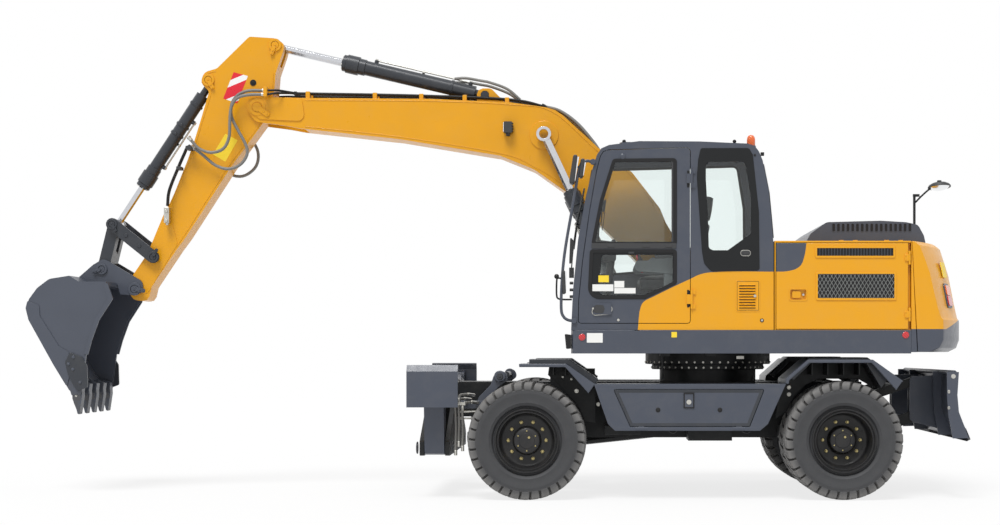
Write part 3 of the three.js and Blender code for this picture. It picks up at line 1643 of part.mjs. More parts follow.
function bucket() {
  const body = sidePrism(bucketOutline, -bucketHalf, bucketHalf);
  const room = sidePrism(
    [
      [-5200, 1700],
      [-5560, 1925],
      [-5840, 1925],
      [-5925, 1978],
      [-6085, 1955, 80],
      [-6187, 1876, 80],
      [-6258, 1785],
      [-6284, 1712, 50],
      [-6258, 1612],
      [-6030, 1203],
      [-5895, 975],
      [-5800, 905],
      [-5200, 905],
    ],
    -bucketHalf + bucketPlate,
    bucketHalf - bucketPlate,
  );
  const ear = sidePrism(
    [
      [bucketPivot[0] + 75, bucketPivot[1] - 55, 60],
      [bucketPivot[0] + 75, bucketPivot[1] + 70, 60],
      [-5700, 2190, 60],
      [-5800, 2130, 60],
      [-5960, 1990],
      [-5830, 1945],
      [-5570, 1945],
      [-5545, 1850],
    ],
    earInner,
    earInner + earThickness,
  );
  const shaft = pin(bucketPivot, -earInner - 5, earInner + 5, pinRadius);
  const teeth = [-2, -1, 0, 1, 2].map((i) => {
    const y = i * (bucketHalf - 55) * 0.5;
    return sidePrism(
      [
        toothTip,
        [-5800, 905],
        [-5805, 985],
        [-5905, 975],
        [-5885, 905],
        [toothTip[0] - 18, toothTip[1] + 4],
      ],
      y - 45,
      y + 45,
    );
  });
  const neckRoom = sidePrism(
    [
      [bucketPivot[0] - 160, bucketPivot[1] + 140],
      [bucketPivot[0] - 130, bucketPivot[1] - 130],
      [bucketPivot[0] + 200, bucketPivot[1] - 300],
      [bucketPivot[0] + 200, bucketPivot[1] + 140],
    ],
    -earInner,
    earInner,
  );
  const shell = cut(body, room, neckRoom);
  return join(shell, mirrored(ear), shaft, ...teeth);
}

part('bucket', bucket(), grey(), across(bucketPivot));

// ---------------------------------------------------------------- placing the whole machine

const bounds = new THREE.Box3().setFromObject(machine);
machine.position.set(-(bounds.min.x + bounds.max.x) / 2, 0, -bounds.min.z);

export default machine;
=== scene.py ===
"""Looks of the wheeled excavator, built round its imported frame.

Shapes are drawn in metres from a point on the ground under the slewing axis: X runs to the tail,
Y to the machine's right side and Z up. A Piece gathers shapes of one material and places them in
the frame, so each part of the machine below is a short list of plates, bars, tubes and bolts.
"""

import json
import math

import bmesh
import bpy
from mathutils import Matrix, Vector


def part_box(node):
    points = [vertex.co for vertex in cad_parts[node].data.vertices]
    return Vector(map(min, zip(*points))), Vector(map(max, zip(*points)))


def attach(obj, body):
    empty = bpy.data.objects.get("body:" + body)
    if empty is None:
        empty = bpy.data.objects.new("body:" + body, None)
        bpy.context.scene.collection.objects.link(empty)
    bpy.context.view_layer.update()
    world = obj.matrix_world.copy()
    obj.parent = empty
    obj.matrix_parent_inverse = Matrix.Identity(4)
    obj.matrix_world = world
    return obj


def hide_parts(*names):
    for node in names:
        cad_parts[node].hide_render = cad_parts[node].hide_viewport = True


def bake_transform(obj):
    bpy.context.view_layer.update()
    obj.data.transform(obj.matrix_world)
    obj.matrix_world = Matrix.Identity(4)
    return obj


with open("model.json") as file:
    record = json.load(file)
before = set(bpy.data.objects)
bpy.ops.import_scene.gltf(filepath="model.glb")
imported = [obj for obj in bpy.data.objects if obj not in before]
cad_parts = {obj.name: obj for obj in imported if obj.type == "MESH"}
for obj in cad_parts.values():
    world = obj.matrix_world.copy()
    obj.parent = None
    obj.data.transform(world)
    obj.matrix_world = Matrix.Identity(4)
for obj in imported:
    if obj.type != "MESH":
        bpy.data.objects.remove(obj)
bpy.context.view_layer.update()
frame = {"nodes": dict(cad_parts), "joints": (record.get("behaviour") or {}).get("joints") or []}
joints = {joint["name"]: joint for joint in frame["joints"]}
slew_x = joints["slew"]["pos_m"][0]
SIDES = {"left": -1, "right": 1}


def joint_place(name):
    """The (x, z) of a joint, from the slewing axis."""
    x, _, z = joints[name]["pos_m"]
    return x - slew_x, z


def node_box(name):
    """Low and high corners of a CAD node, from the slewing axis."""
    low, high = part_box(name)
    offset = Vector((slew_x, 0, 0))
    return low - offset, high - offset


# ---------------------------------------------------------------- materials


def add(tree, kind, inputs=None, **settings):
    """Adds a shader node. Each input is a value or the output socket of another node."""
    made = tree.nodes.new(kind)
    for name, value in settings.items():
        setattr(made, name, value)
    for name, value in (inputs or {}).items():
        if isinstance(value, bpy.types.NodeSocket):
            tree.links.new(value, made.inputs[name])
        else:
            made.inputs[name].default_value = value
    return made


def maths(tree, operation, first, second=0.0):
    return add(tree, "ShaderNodeMath", {0: first, 1: second}, operation=operation).outputs[0]


def place_in(tree):
    """Object coordinates, and their X, Y and Z."""
    place = add(tree, "ShaderNodeTexCoord").outputs["Object"]
    split = add(tree, "ShaderNodeSeparateXYZ", {0: place})
    return place, split.outputs["X"], split.outputs["Y"], split.outputs["Z"]


def noise(tree, place, scale, detail=3.0, roughness=0.55):
    inputs = {"Vector": place, "Scale": scale, "Detail": detail, "Roughness": roughness}
    return add(tree, "ShaderNodeTexNoise", inputs).outputs["Fac"]


def spread(tree, value, low, high, to_low=0.0, to_high=1.0):
    """A value moved from one range to another, and held inside it."""
    inputs = {"Value": value, "From Min": low, "From Max": high, "To Min": to_low, "To Max": to_high}
    return add(tree, "ShaderNodeMapRange", inputs).outputs[0]


def blend(tree, share, first, second):
    """A colour between two colours."""
    first, second = (c if isinstance(c, bpy.types.NodeSocket) else (*c, 1) for c in (first, second))
    made = add(tree, "ShaderNodeMix", data_type="RGBA")
    for index, value in ((0, share), (6, first), (7, second)):
        if isinstance(value, bpy.types.NodeSocket):
            tree.links.new(value, made.inputs[index])
        else:
            made.inputs[index].default_value = value
    return made.outputs[2]


def scaled(colour, factor):
    return tuple(min(c * factor, 1.0) for c in colour)


def finish_surface(material, colour, roughness, bump, bump_depth, **shader):
    """Joins a colour, a roughness and a bump height to the material's shader."""
    tree = material.node_tree
    shine = tree.nodes["Principled BSDF"]
    tree.links.new(colour, shine.inputs["Base Color"])
    tree.links.new(roughness, shine.inputs["Roughness"])
    for name, value in shader.items():
        shine.inputs[name.replace("_", " ").title().replace("Ior", "IOR")].default_value = value
    raised = add(tree, "ShaderNodeBump", {"Height": bump, "Strength": 1.0, "Distance": bump_depth})
    tree.links.new(raised.outputs["Normal"], shine.inputs["Normal"])


def new_material(name):
    material = bpy.data.materials.new(name)
    material.use_nodes = True
    return material


DUST = (0.30, 0.27, 0.22)


def enamel(name, colour, roughness=0.32, dust=0.06, split=None, coat=0.14, shine=0.35):
    """Sprayed paint: faint patches, a fine orange-peel skin and a little dust."""
    material = new_material(name)
    tree = material.node_tree
    place, x, y, z = place_in(tree)
    patches = noise(tree, place, 2.2, 4)
    base = split(tree, x, y, z, colour) if split else None
    if base is None:
        base = blend(tree, patches, scaled(colour, 0.93), scaled(colour, 1.07))
    grime = spread(tree, noise(tree, place, 7.0, 6, 0.65), 0.45, 0.8, 0.0, dust)
    tinted = blend(tree, grime, base, DUST)
    rough = spread(tree, noise(tree, place, 18.0, 5), 0.3, 0.7, roughness - 0.05, roughness + 0.07)
    skin = noise(tree, place, 260.0, 2)
    finish_surface(
        material, tinted, rough, skin, 0.0002,
        coat_weight=coat, coat_roughness=0.14, specular_ior_level=shine,
    )
    return material


def metal(name, colour, roughness, scale=40.0, streak=(1, 1, 1)):
    """Bare metal with fine streaks along the axis that has the smallest number in streak."""
    material = new_material(name)
    tree = material.node_tree
    place = place_in(tree)[0]
    stretched = add(tree, "ShaderNodeMapping", {"Vector": place, "Scale": streak}).outputs[0]
    streaks = noise(tree, stretched, scale, 4)
    tone = blend(tree, streaks, scaled(colour, 0.85), scaled(colour, 1.1))
    rough = spread(tree, streaks, 0.3, 0.7, roughness * 0.7, roughness * 1.4)
    finish_surface(material, tone, rough, streaks, 0.00015, metallic=1.0)
    return material


def moulded(name, colour, roughness=0.55, grain=220.0, depth=0.0004, variation=0.12, **shader):
    """Plastic or rubber with a fine moulded grain."""
    material = new_material(name)
    tree = material.node_tree
    place = place_in(tree)[0]
    patches = noise(tree, place, 6.0, 4)
    tone = blend(tree, patches, scaled(colour, 1 - variation), scaled(colour, 1 + variation))
    rough = spread(tree, patches, 0.3, 0.7, roughness - 0.06, roughness + 0.06)
    finish_surface(material, tone, rough, noise(tree, place, grain, 2), depth, **shader)
    return material


def lamp_lens(name, colour, ribs=260.0):
    """A ribbed coloured lens, its colour banded lighter and darker along the ribs as painted glints and
    shade.
    """
    material = new_material(name)
    tree = material.node_tree
    place, x, _, z = place_in(tree)
    rib = maths(tree, "SINE", maths(tree, "MULTIPLY", maths(tree, "ADD", x, z), ribs))
    # colour bands along the ribs are painted glints and shade; the ribs' bump is real
    tone = blend(tree, spread(tree, rib, -1, 1), scaled(colour, 0.75), scaled(colour, 1.15))
    rough = spread(tree, noise(tree, place, 30), 0.3, 0.7, 0.12, 0.2)
    finish_surface(material, tone, rough, rib, 0.0006, coat_weight=0.6)
    return material


def woven(name, colour):
    """Seat cloth with a small diamond weave and soft sheen."""
    material = new_material(name)
    tree = material.node_tree
    place, x, y, z = place_in(tree)
    across = maths(tree, "SINE", maths(tree, "MULTIPLY", maths(tree, "ADD", x, y), 900.0))
    along = maths(tree, "SINE", maths(tree, "MULTIPLY", maths(tree, "SUBTRACT", z, y), 900.0))
    weave = maths(tree, "MULTIPLY", across, along)
    patches = noise(tree, place, 12.0, 4)
    tone = blend(tree, spread(tree, weave, -1, 1), scaled(colour, 0.7), scaled(colour, 1.35))
    tone = blend(tree, spread(tree, patches, 0.4, 0.7, 0, 0.25), tone, scaled(colour, 1.6))
    rough = spread(tree, patches, 0.3, 0.7, 0.85, 0.97)
    finish_surface(material, tone, rough, weave, 0.0006, sheen_weight=0.3)
    return material


def stripes(name):
    """Slanting red and white bands."""
    material = new_material(name)
    tree = material.node_tree
    place, x, _, z = place_in(tree)
    slant = maths(tree, "SUBTRACT", z, maths(tree, "MULTIPLY", x, 0.42))
    phase = maths(
        tree, "FRACT", maths(tree, "MULTIPLY", maths(tree, "ADD", slant, STRIPE_START), STRIPES_PER_M),
    )
    white = maths(tree, "LESS_THAN", phase, WHITE_SHARE)
    tone = blend(tree, white, (0.70, 0.008, 0.025), (0.86, 0.86, 0.85))
    rough = spread(tree, noise(tree, place, 30), 0.3, 0.7, 0.25, 0.35)
    finish_surface(material, tone, rough, noise(tree, place, 500), 0.0001, coat_weight=0.1)
    return material


def pane(name, tint, shine=1.0):
    """Window glass: tinted, clear to light, with its reflections."""
    material = new_material(name)
    tree = material.node_tree
    tree.nodes.remove(tree.nodes["Principled BSDF"])
    clear = add(tree, "ShaderNodeBsdfTransparent", {"Color": (*tint, 1)}).outputs[0]
    gloss = add(tree, "ShaderNodeBsdfGlossy", {"Color": (shine, shine, shine, 1), "Roughness": 0.02})
    slant = add(tree, "ShaderNodeLayerWeight").outputs["Facing"]
    steep = maths(tree, "POWER", slant, 4.0)
    facing = maths(tree, "ADD", maths(tree, "MULTIPLY", steep, 0.5), 0.03)
    both = add(tree, "ShaderNodeMixShader", {0: facing, 1: clear, 2: gloss.outputs[0]})
    tree.links.new(both.outputs[0], tree.nodes["Material Output"].inputs["Surface"])
    return material


YELLOW = (0.74, 0.335, 0.005)
GREY = (0.058, 0.067, 0.090)
STRIPE_START = 0.066
STRIPES_PER_M = 6.06
WHITE_SHARE = 0.36

# Where yellow meets grey on the left side of cab and house, as (x, z, corner) from front to back.
TWO_TONE = [
    (-0.702, 1.30, "VECTOR"),
    (-0.691, 1.520, "VECTOR"),
    (-0.672, 1.690, "AUTO"),
    (-0.640, 1.752, "AUTO"),
    (-0.560, 1.795, "AUTO"),
    (-0.234, 1.952, "AUTO"),
    (-0.130, 1.998, "AUTO"),
    (-0.014, 2.014, "AUTO"),
    (0.497, 2.018, "VECTOR"),
    (0.640, 2.024, "AUTO"),
    (0.730, 2.060, "AUTO"),
    (0.775, 2.150, "AUTO"),
    (0.805, 2.400, "VECTOR"),
]
CURVE_X = (-1.5, 1.5)
CURVE_Z = (1.0, 3.0)


def two_tone(tree, x, y, z, colour):
    """Yellow under the swept line on the outer sides, and the given grey elsewhere."""
    from_axis = maths(tree, "SUBTRACT", x, slew_x)
    share = spread(tree, from_axis, *CURVE_X)
    curve = add(tree, "ShaderNodeFloatCurve", {"Value": share})
    line = curve.mapping.curves[0]
    while len(line.points) < len(TWO_TONE):
        line.points.new(0.5, 0.5)
    for point, (px, pz, corner) in zip(line.points, TWO_TONE):
        point.location = (
            (px - CURVE_X[0]) / (CURVE_X[1] - CURVE_X[0]),
            (pz - CURVE_Z[0]) / (CURVE_Z[1] - CURVE_Z[0]),
        )
        point.handle_type = corner
    curve.mapping.update()
    edge = spread(tree, curve.outputs[0], 0.0, 1.0, *CURVE_Z)
    under = maths(tree, "LESS_THAN", z, edge)
    outside = maths(tree, "GREATER_THAN", maths(tree, "ABSOLUTE", y), 1.19)
    return blend(tree, maths(tree, "MULTIPLY", under, outside), colour, YELLOW)


def tail_split(tree, x, y, z, colour):
    """Grey under the counterweight's crease, which rises at the back, and the given yellow above."""
    rise = maths(tree, "MULTIPLY", maths(tree, "SUBTRACT", x, slew_x + 2.04), 0.42)
    crease = maths(tree, "ADD", maths(tree, "MAXIMUM", rise, 0.0), 1.512)
    return blend(tree, maths(tree, "LESS_THAN", z, crease), colour, GREY)


def tyre_surface(name):
    """Black rubber with a faint blue on the walls that is painted sheen, browned by dust on the tread."""
    material = new_material(name)
    tree = material.node_tree
    place, x, _, z = place_in(tree)
    squares = [maths(tree, "MULTIPLY", axis, axis) for axis in (x, z)]
    radius = maths(tree, "SQRT", maths(tree, "ADD", *squares))
    worn = spread(tree, radius, 0.44, 0.50)
    patches = noise(tree, place, 9.0, 6, 0.7)
    # the walls' slight blue is painted sheen; their darkness is the rubber's own
    wall = blend(tree, patches, (0.036, 0.037, 0.040), (0.066, 0.067, 0.070))
    tread = blend(tree, patches, (0.090, 0.088, 0.086), (0.230, 0.225, 0.220))
    tone = blend(tree, worn, wall, tread)
    rough = spread(tree, patches, 0.3, 0.7, 0.52, 0.72)
    finish_surface(
        material, tone, rough, noise(tree, place, 140.0, 4), 0.0008, specular_ior_level=0.3
    )
    return material


def digging_steel(name):
    """Bucket paint that is rubbed to darker steel near the ground."""
    material = new_material(name)
    tree = material.node_tree
    place, x, y, z = place_in(tree)
    patches = noise(tree, place, 5.0, 5, 0.6)
    base = blend(tree, patches, scaled(GREY, 0.88), scaled(GREY, 1.05))
    low = spread(tree, z, 1.15, 0.85)
    worn = maths(tree, "MULTIPLY", low, spread(tree, noise(tree, place, 22.0, 6, 0.7), 0.4, 0.62))
    tone = blend(tree, worn, base, (0.055, 0.055, 0.06))
    rough = spread(tree, patches, 0.3, 0.7, 0.38, 0.5)
    finish_surface(material, tone, rough, noise(tree, place, 90.0, 4), 0.0006, coat_weight=0.1)
    return material


M = {
    "yellow": enamel("yellow_enamel", YELLOW),
    "grey": enamel("grey_enamel", GREY, 0.36),
    "two_tone": enamel("two_tone_enamel", GREY, 0.34, split=two_tone),
    "tail": enamel("tail_enamel", YELLOW, 0.34, split=tail_split),
    "black": enamel("black_enamel", (0.010, 0.011, 0.012), 0.45, 0.035, coat=0.05, shine=0.25),
    "rim": enamel("rim_enamel", (0.016, 0.016, 0.017), 0.42, 0.05, coat=0.1, shine=0.3),
    "barrel": enamel("cylinder_enamel", (0.030, 0.034, 0.042), 0.32, 0.05),
    "bucket": digging_steel("bucket_enamel"),
    "tooth": metal("tooth_steel", (0.11, 0.11, 0.115), 0.45, 25),
    "chrome": metal("rod_chrome", (0.62, 0.63, 0.66), 0.16, 60, (1, 1, 1)),
    "zinc": metal("zinc_plate", (0.55, 0.54, 0.50), 0.35, 80),
    "brass": metal("yellow_zinc", (0.50, 0.42, 0.20), 0.35, 80),
    "tyre": tyre_surface("tyre_rubber_dusty"),
    # near-black rubber on the groove floors between lugs is painted shade
    "groove_shade": moulded("tyre_groove_painted_shade", (0.018, 0.017, 0.016), 0.75, 140.0, 0.0008),
    "rubber": moulded("seal_rubber", (0.014, 0.014, 0.015), 0.6, specular_ior_level=0.25),
    "hose": moulded("hose_cover", (0.185, 0.180, 0.168), 0.42, 320.0, 0.0005),
    "sleeve": metal("braided_sleeve", (0.34, 0.35, 0.34), 0.4, 420),
    "plastic": moulded("black_plastic", (0.030, 0.031, 0.033), 0.5),
    "trim": moulded("cab_trim", (0.115, 0.125, 0.130), 0.6, 260.0),
    "border": moulded(
        "printed_glass_border", (0.008, 0.009, 0.010), 0.16, 40.0, 0.00005, specular_ior_level=0.3,
    ),
    "fabric": woven("seat_cloth", (0.055, 0.058, 0.062)),
    "red": lamp_lens("red_lens", (0.55, 0.015, 0.02)),
    "amber": lamp_lens("amber_lens", (0.80, 0.13, 0.01)),
    "clear": lamp_lens("clear_lens", (0.75, 0.76, 0.78)),
    "label": moulded("blank_white_label", (0.80, 0.80, 0.78), 0.4, 300.0, 0.0001, 0.03),
    "yellow_label": moulded("blank_yellow_label", (0.86, 0.62, 0.03), 0.4, 300.0, 0.0001, 0.03),
    "stripes": stripes("red_white_stripes"),
    "mirror": metal("mirror_glass", (0.86, 0.87, 0.88), 0.02, 3),
    "glass": pane("window_glass", (0.95, 0.975, 0.970)),
    "dark_glass": pane("tinted_glass", (0.42, 0.50, 0.49)),
}

# ---------------------------------------------------------------- shapes


def rounded(corners, steps=5):
    """Outline points, with an arc at each corner that has a radius: (u, v, radius)."""
    points = []
    for i, corner in enumerate(corners):
        here = Vector(corner[:2])
        radius = corner[2] if len(corner) > 2 else 0
        if not radius:
            points.append(here)
            continue
        back = (Vector(corners[i - 1][:2]) - here).normalized()
        ahead = (Vector(corners[(i + 1) % len(corners)][:2]) - here).normalized()
        half = back.angle(ahead) / 2
        reach = radius / math.tan(half)
        centre = here + (back + ahead).normalized() * (radius / math.sin(half))
        start = here + back * reach - centre
        end = here + ahead * reach - centre
        turn = start.angle_signed(end)
        for step in range(steps + 1):
            points.append(centre + Matrix.Rotation(-turn * step / steps, 2) @ start)
    return points


def curve_through(points, step=0.02):
    """Points along a smooth curve through the given points, about one step apart."""
    points = [Vector(p) for p in points]
    ends = [2 * points[0] - points[1], *points, 2 * points[-1] - points[-2]]
    line = []
    for a, b, c, d in zip(ends, ends[1:], ends[2:], ends[3:]):
        count = max(2, round((c - b).length / step))
        for i in range(count):
            t = i / count
            line.append(
                0.5
                * (2 * b + (c - a) * t + (2 * a - 5 * b + 4 * c - d) * t**2 + (3 * b - a - 3 * c + d) * t**3)
            )
    return [*line, points[-1]]


PLANES = {
    "side": lambda u, v, w: Vector((u, w, v)),
    "front": lambda u, v, w: Vector((w, u, v)),
    "plan": lambda u, v, w: Vector((u, v, w)),
}


class Piece:
    """Shapes in one material that move with one body, gathered into one mesh."""

    def __init__(self, name, body, material, slot=None, at=(0, 0, 0)):
        self.name, self.body, self.material, self.slot = name, body, material, slot
        self.at = Vector(at)
        self.bm = bmesh.new()

    def faces(self, rings, close_ends=True, loop=False):
        """Joins rings of points, each as long as the next, into a skin."""
        rows = [[self.bm.verts.new(p - self.at) for p in ring] for ring in rings]
        pairs = zip(rows, rows[1:] + rows[:1]) if loop else zip(rows, rows[1:])
        for near, far in pairs:
            for i in range(len(near)):
                self.bm.faces.new((near[i - 1], near[i], far[i], far[i - 1]))
        if close_ends and not loop:
            self.bm.faces.new(rows[0])
            self.bm.faces.new(list(reversed(rows[-1])))
        return self

    def prism(self, corners, low, high, plane="side", steps=5):
        """An outline extruded from low to high across its plane."""
        outline = rounded(corners, steps)
        return self.faces([[PLANES[plane](u, v, w) for u, v in outline] for w in (low, high)])

    def block(self, low, high):
        (x0, y0, z0), (x1, y1, z1) = low, high
        return self.prism([(x0, y0), (x1, y0), (x1, y1), (x0, y1)], z0, z1, "plan")

    def lathe(self, profile, centre, axis=(0, 1, 0), sides=32, hollow=False):
        """A profile of (radius, distance along the axis) turned about an axis through centre."""
        axis = Vector(axis).normalized()
        turn = Vector((0, 0, 1)).rotation_difference(axis)
        centre = Vector(centre)
        rings = []
        for radius, along in profile:
            ring = []
            for i in range(sides):
                angle = math.tau * i / sides
                ring.append(
                    centre + turn @ Vector((radius * math.cos(angle), radius * math.sin(angle), along))
                )
            rings.append(ring)
        return self.faces(rings, loop=hollow)

    def panel(self, corners, centre, across, up, low, high, steps=5):
        """An outline on a slanting face, extruded along the face's normal."""
        across, up, centre = Vector(across).normalized(), Vector(up).normalized(), Vector(centre)
        out = across.cross(up)
        outline = rounded(corners, steps)
        return self.faces([[centre + across * u + up * v + out * w for u, v in outline] for w in (low, high)])

    def bar(self, start, end, radius, sides=24, tip=None):
        """A round bar, with a small chamfer at its ends."""
        start, end = Vector(start), Vector(end)
        length = (end - start).length
        edge = min(radius * 0.15, 0.004, length * 0.2) if tip is None else tip
        profile = [(radius - edge, 0), (radius, edge), (radius, length - edge), (radius - edge, length)]
        return self.lathe(profile, start, end - start, sides)

    def ring(self, centre, axis, outer, inner, low, high, sides=32):
        profile = [(inner, low), (outer, low), (outer, high), (inner, high)]
        return self.lathe(profile, centre, axis, sides, hollow=True)

    def tube(self, points, radius, sides=10, step=0.02, smooth=True):
        """A round tube along a smooth line."""
        line = curve_through(points, step) if smooth else [Vector(p) for p in points]
        ahead = (line[1] - line[0]).normalized()
        side = ahead.orthogonal().normalized()
        rings = []
        for i, point in enumerate(line):
            towards = (line[min(i + 1, len(line) - 1)] - line[max(i - 1, 0)]).normalized()
            side = ahead.rotation_difference(towards) @ side
            ahead = towards
            up = ahead.cross(side)
            rings.append(
                [
                    point + radius * (math.cos(a) * side + math.sin(a) * up)
                    for a in (math.tau * k / sides for k in range(sides))
                ]
            )
        return self.faces(rings)

    def strip(self, line, y0, y1, thickness):
        """A bent plate along a line seen from the side, thickness deep towards the line's right."""
        line = [Vector(p) for p in line]
        back = []
        for i, here in enumerate(line):
            ahead = (line[min(i + 1, len(line) - 1)] - here) or (here - line[i - 1])
            behind = (here - line[max(i - 1, 0)]) or ahead
            normals = [Vector((d.y, -d.x)).normalized() for d in (ahead, behind)]
            middle = (normals[0] + normals[1]).normalized()
            back.append(here + middle * thickness / max(middle.dot(normals[0]), 0.3))
        outline = [*line, *reversed(back)]
        return self.faces([[PLANES["side"](u, v, w) for u, v in outline] for w in (y0, y1)])

    def bolt(self, at, direction, size=0.012, washer=True):
        """A hexagon bolt head on its washer, standing on a face."""
        at, direction = Vector(at), Vector(direction).normalized()
        if washer:
            self.bar(at - direction * 0.001, at + direction * size * 0.25, size * 1.15, 16)
        self.bar(at, at + direction * size * 0.85, size * 0.85, 6)
        return self

    def ball(self, centre, radius, squash=(1, 1, 1), sides=20):
        centre, squash = Vector(centre), Vector(squash)
        rings = []
        for i in range(1, sides // 2):
            angle = math.pi * i / (sides // 2)
            rings.append(
                [
                    centre
                    + Vector(
                        (
                            radius * math.sin(angle) * math.cos(math.tau * k / sides),
                            radius * math.sin(angle) * math.sin(math.tau * k / sides),
                            -radius * math.cos(angle),
                        )
                    )
                    * squash
                    for k in range(sides)
                ]
            )
        return self.faces(rings)

    def mirror(self):
        """Copies every shape to the other side of the machine."""
        found = bmesh.ops.duplicate(self.bm, geom=self.bm.faces[:] + self.bm.edges[:] + self.bm.verts[:])
        copies = found["geom"]
        for vert in (v for v in copies if isinstance(v, bmesh.types.BMVert)):
            vert.co.y = -vert.co.y - 2 * self.at.y
        bmesh.ops.reverse_faces(self.bm, faces=[f for f in copies if isinstance(f, bmesh.types.BMFace)])
        return self

    def done(self, bevel=0.0, segments=2, crease=35, replaces=(), smooth=True):
        """Makes the object, rounds its edges, and lets it move with its body."""
        bmesh.ops.recalc_face_normals(self.bm, faces=self.bm.faces)
        for face in self.bm.faces:
            face.smooth = smooth
        for edge in self.bm.edges:
            edge.smooth = len(edge.link_faces) == 2 and edge.calc_face_angle(0) < math.radians(crease)
        mesh = bpy.data.meshes.new(self.name)
        self.bm.to_mesh(mesh)
        self.bm.free()
        mesh.materials.append(M[self.material])
        made = bpy.data.objects.new(self.name, mesh)
        bpy.context.scene.collection.objects.link(made)
        made.location = self.at + Vector((slew_x, 0, 0))
        if bevel:
            round_edges(made, bevel, segments, crease)
        if replaces:
            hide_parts(*replaces)
        if self.body:
            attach(made, self.body)
        return made


def round_edges(item, width, segments=2, angle=35):
    edge = item.modifiers.new("round_edges", "BEVEL")
    edge.width, edge.segments = width, segments
    edge.limit_method, edge.angle_limit = "ANGLE", math.radians(angle)
    edge.harden_normals = True
    edge.miter_outer = "MITER_ARC"
    return edge


# ---------------------------------------------------------------- CAD nodes


def smooth_group():
    """A modifier that shades smooth across all but the sharp edges."""
    group = bpy.data.node_groups.new("smooth_by_angle", "GeometryNodeTree")
    group.interface.new_socket("Geometry", in_out="INPUT", socket_type="NodeSocketGeometry")
    group.interface.new_socket("Geometry", in_out="OUTPUT", socket_type="NodeSocketGeometry")
    source = group.nodes.new("NodeGroupInput")
    angle = group.nodes.new("GeometryNodeInputMeshEdgeAngle")
    flat = group.nodes.new("FunctionNodeCompare")
    flat.data_type, flat.operation = "FLOAT", "LESS_EQUAL"
    flat.inputs[1].default_value = math.radians(30)
    faces = group.nodes.new("GeometryNodeSetShadeSmooth")
    faces.domain = "FACE"
    edges = group.nodes.new("GeometryNodeSetShadeSmooth")
    edges.domain = "EDGE"
    target = group.nodes.new("NodeGroupOutput")
    group.links.new(source.outputs[0], faces.inputs["Geometry"])
    group.links.new(angle.outputs["Unsigned Angle"], flat.inputs[0])
    group.links.new(faces.outputs[0], edges.inputs["Geometry"])
    group.links.new(flat.outputs[0], edges.inputs["Shade Smooth"])
    group.links.new(edges.outputs[0], target.inputs[0])
    return group


SMOOTH = smooth_group()
weld_gap = 2e-5


def dress(node, material, bevel=0.004, segments=2):
    """Gives a CAD node its finish: merged corners, smooth curves and rounded edges."""
    item = frame["nodes"][node]
    item.data.materials.clear()
    item.data.materials.append(M[material])
    weld = item.modifiers.new("weld", "WELD")
    weld.merge_threshold = weld_gap
    shading = item.modifiers.new("smooth_by_angle", "NODES")
    shading.node_group = SMOOTH
    if bevel:
        round_edges(item, bevel, segments, 32)
        flat = item.modifiers.new("flat_faces", "WEIGHTED_NORMAL")
        flat.weight, flat.keep_sharp = 60, True


DRESS = {
    "yellow": ["boom", "arm", "engine_house", "tanks"],
    "tail": ["counterweight"],
    "two_tone": ["cab_shell", "cab_door", "service_door_left", "service_door_right"],
    "grey": [
        "deck", "engine_hood", "side_box_left", "side_box_right", "box_door_left", "box_door_right",
        "outrigger_leg_left", "outrigger_leg_right", "outrigger_pad_left", "outrigger_pad_right",
        "blade",
    ],
    "barrel": [
        "rocker", "bucket_link", "boom_barrels", "arm_barrel", "bucket_barrel", "blade_barrel",
        "outrigger_barrel_left", "outrigger_barrel_right",
    ],
    "chrome": [
        "boom_rod_left", "boom_rod_right", "arm_rod", "bucket_rod", "blade_rod",
        "outrigger_rod_left", "outrigger_rod_right",
    ],
    "bucket": ["bucket"],
    "black": [
        "blade_arms", "blade_links", "chassis_frame", "front_axle", "rear_axle", "driveline",
        "knuckle_left", "knuckle_right", "engine",
    ],
}
for finish, names in DRESS.items():
    for name in names:
        dress(name, finish)

# ---------------------------------------------------------------- wheels

LUGS = 34
GROOVE_SHADE_START = 0.452  # radius from which the carcass between lugs takes the near-black painted shade


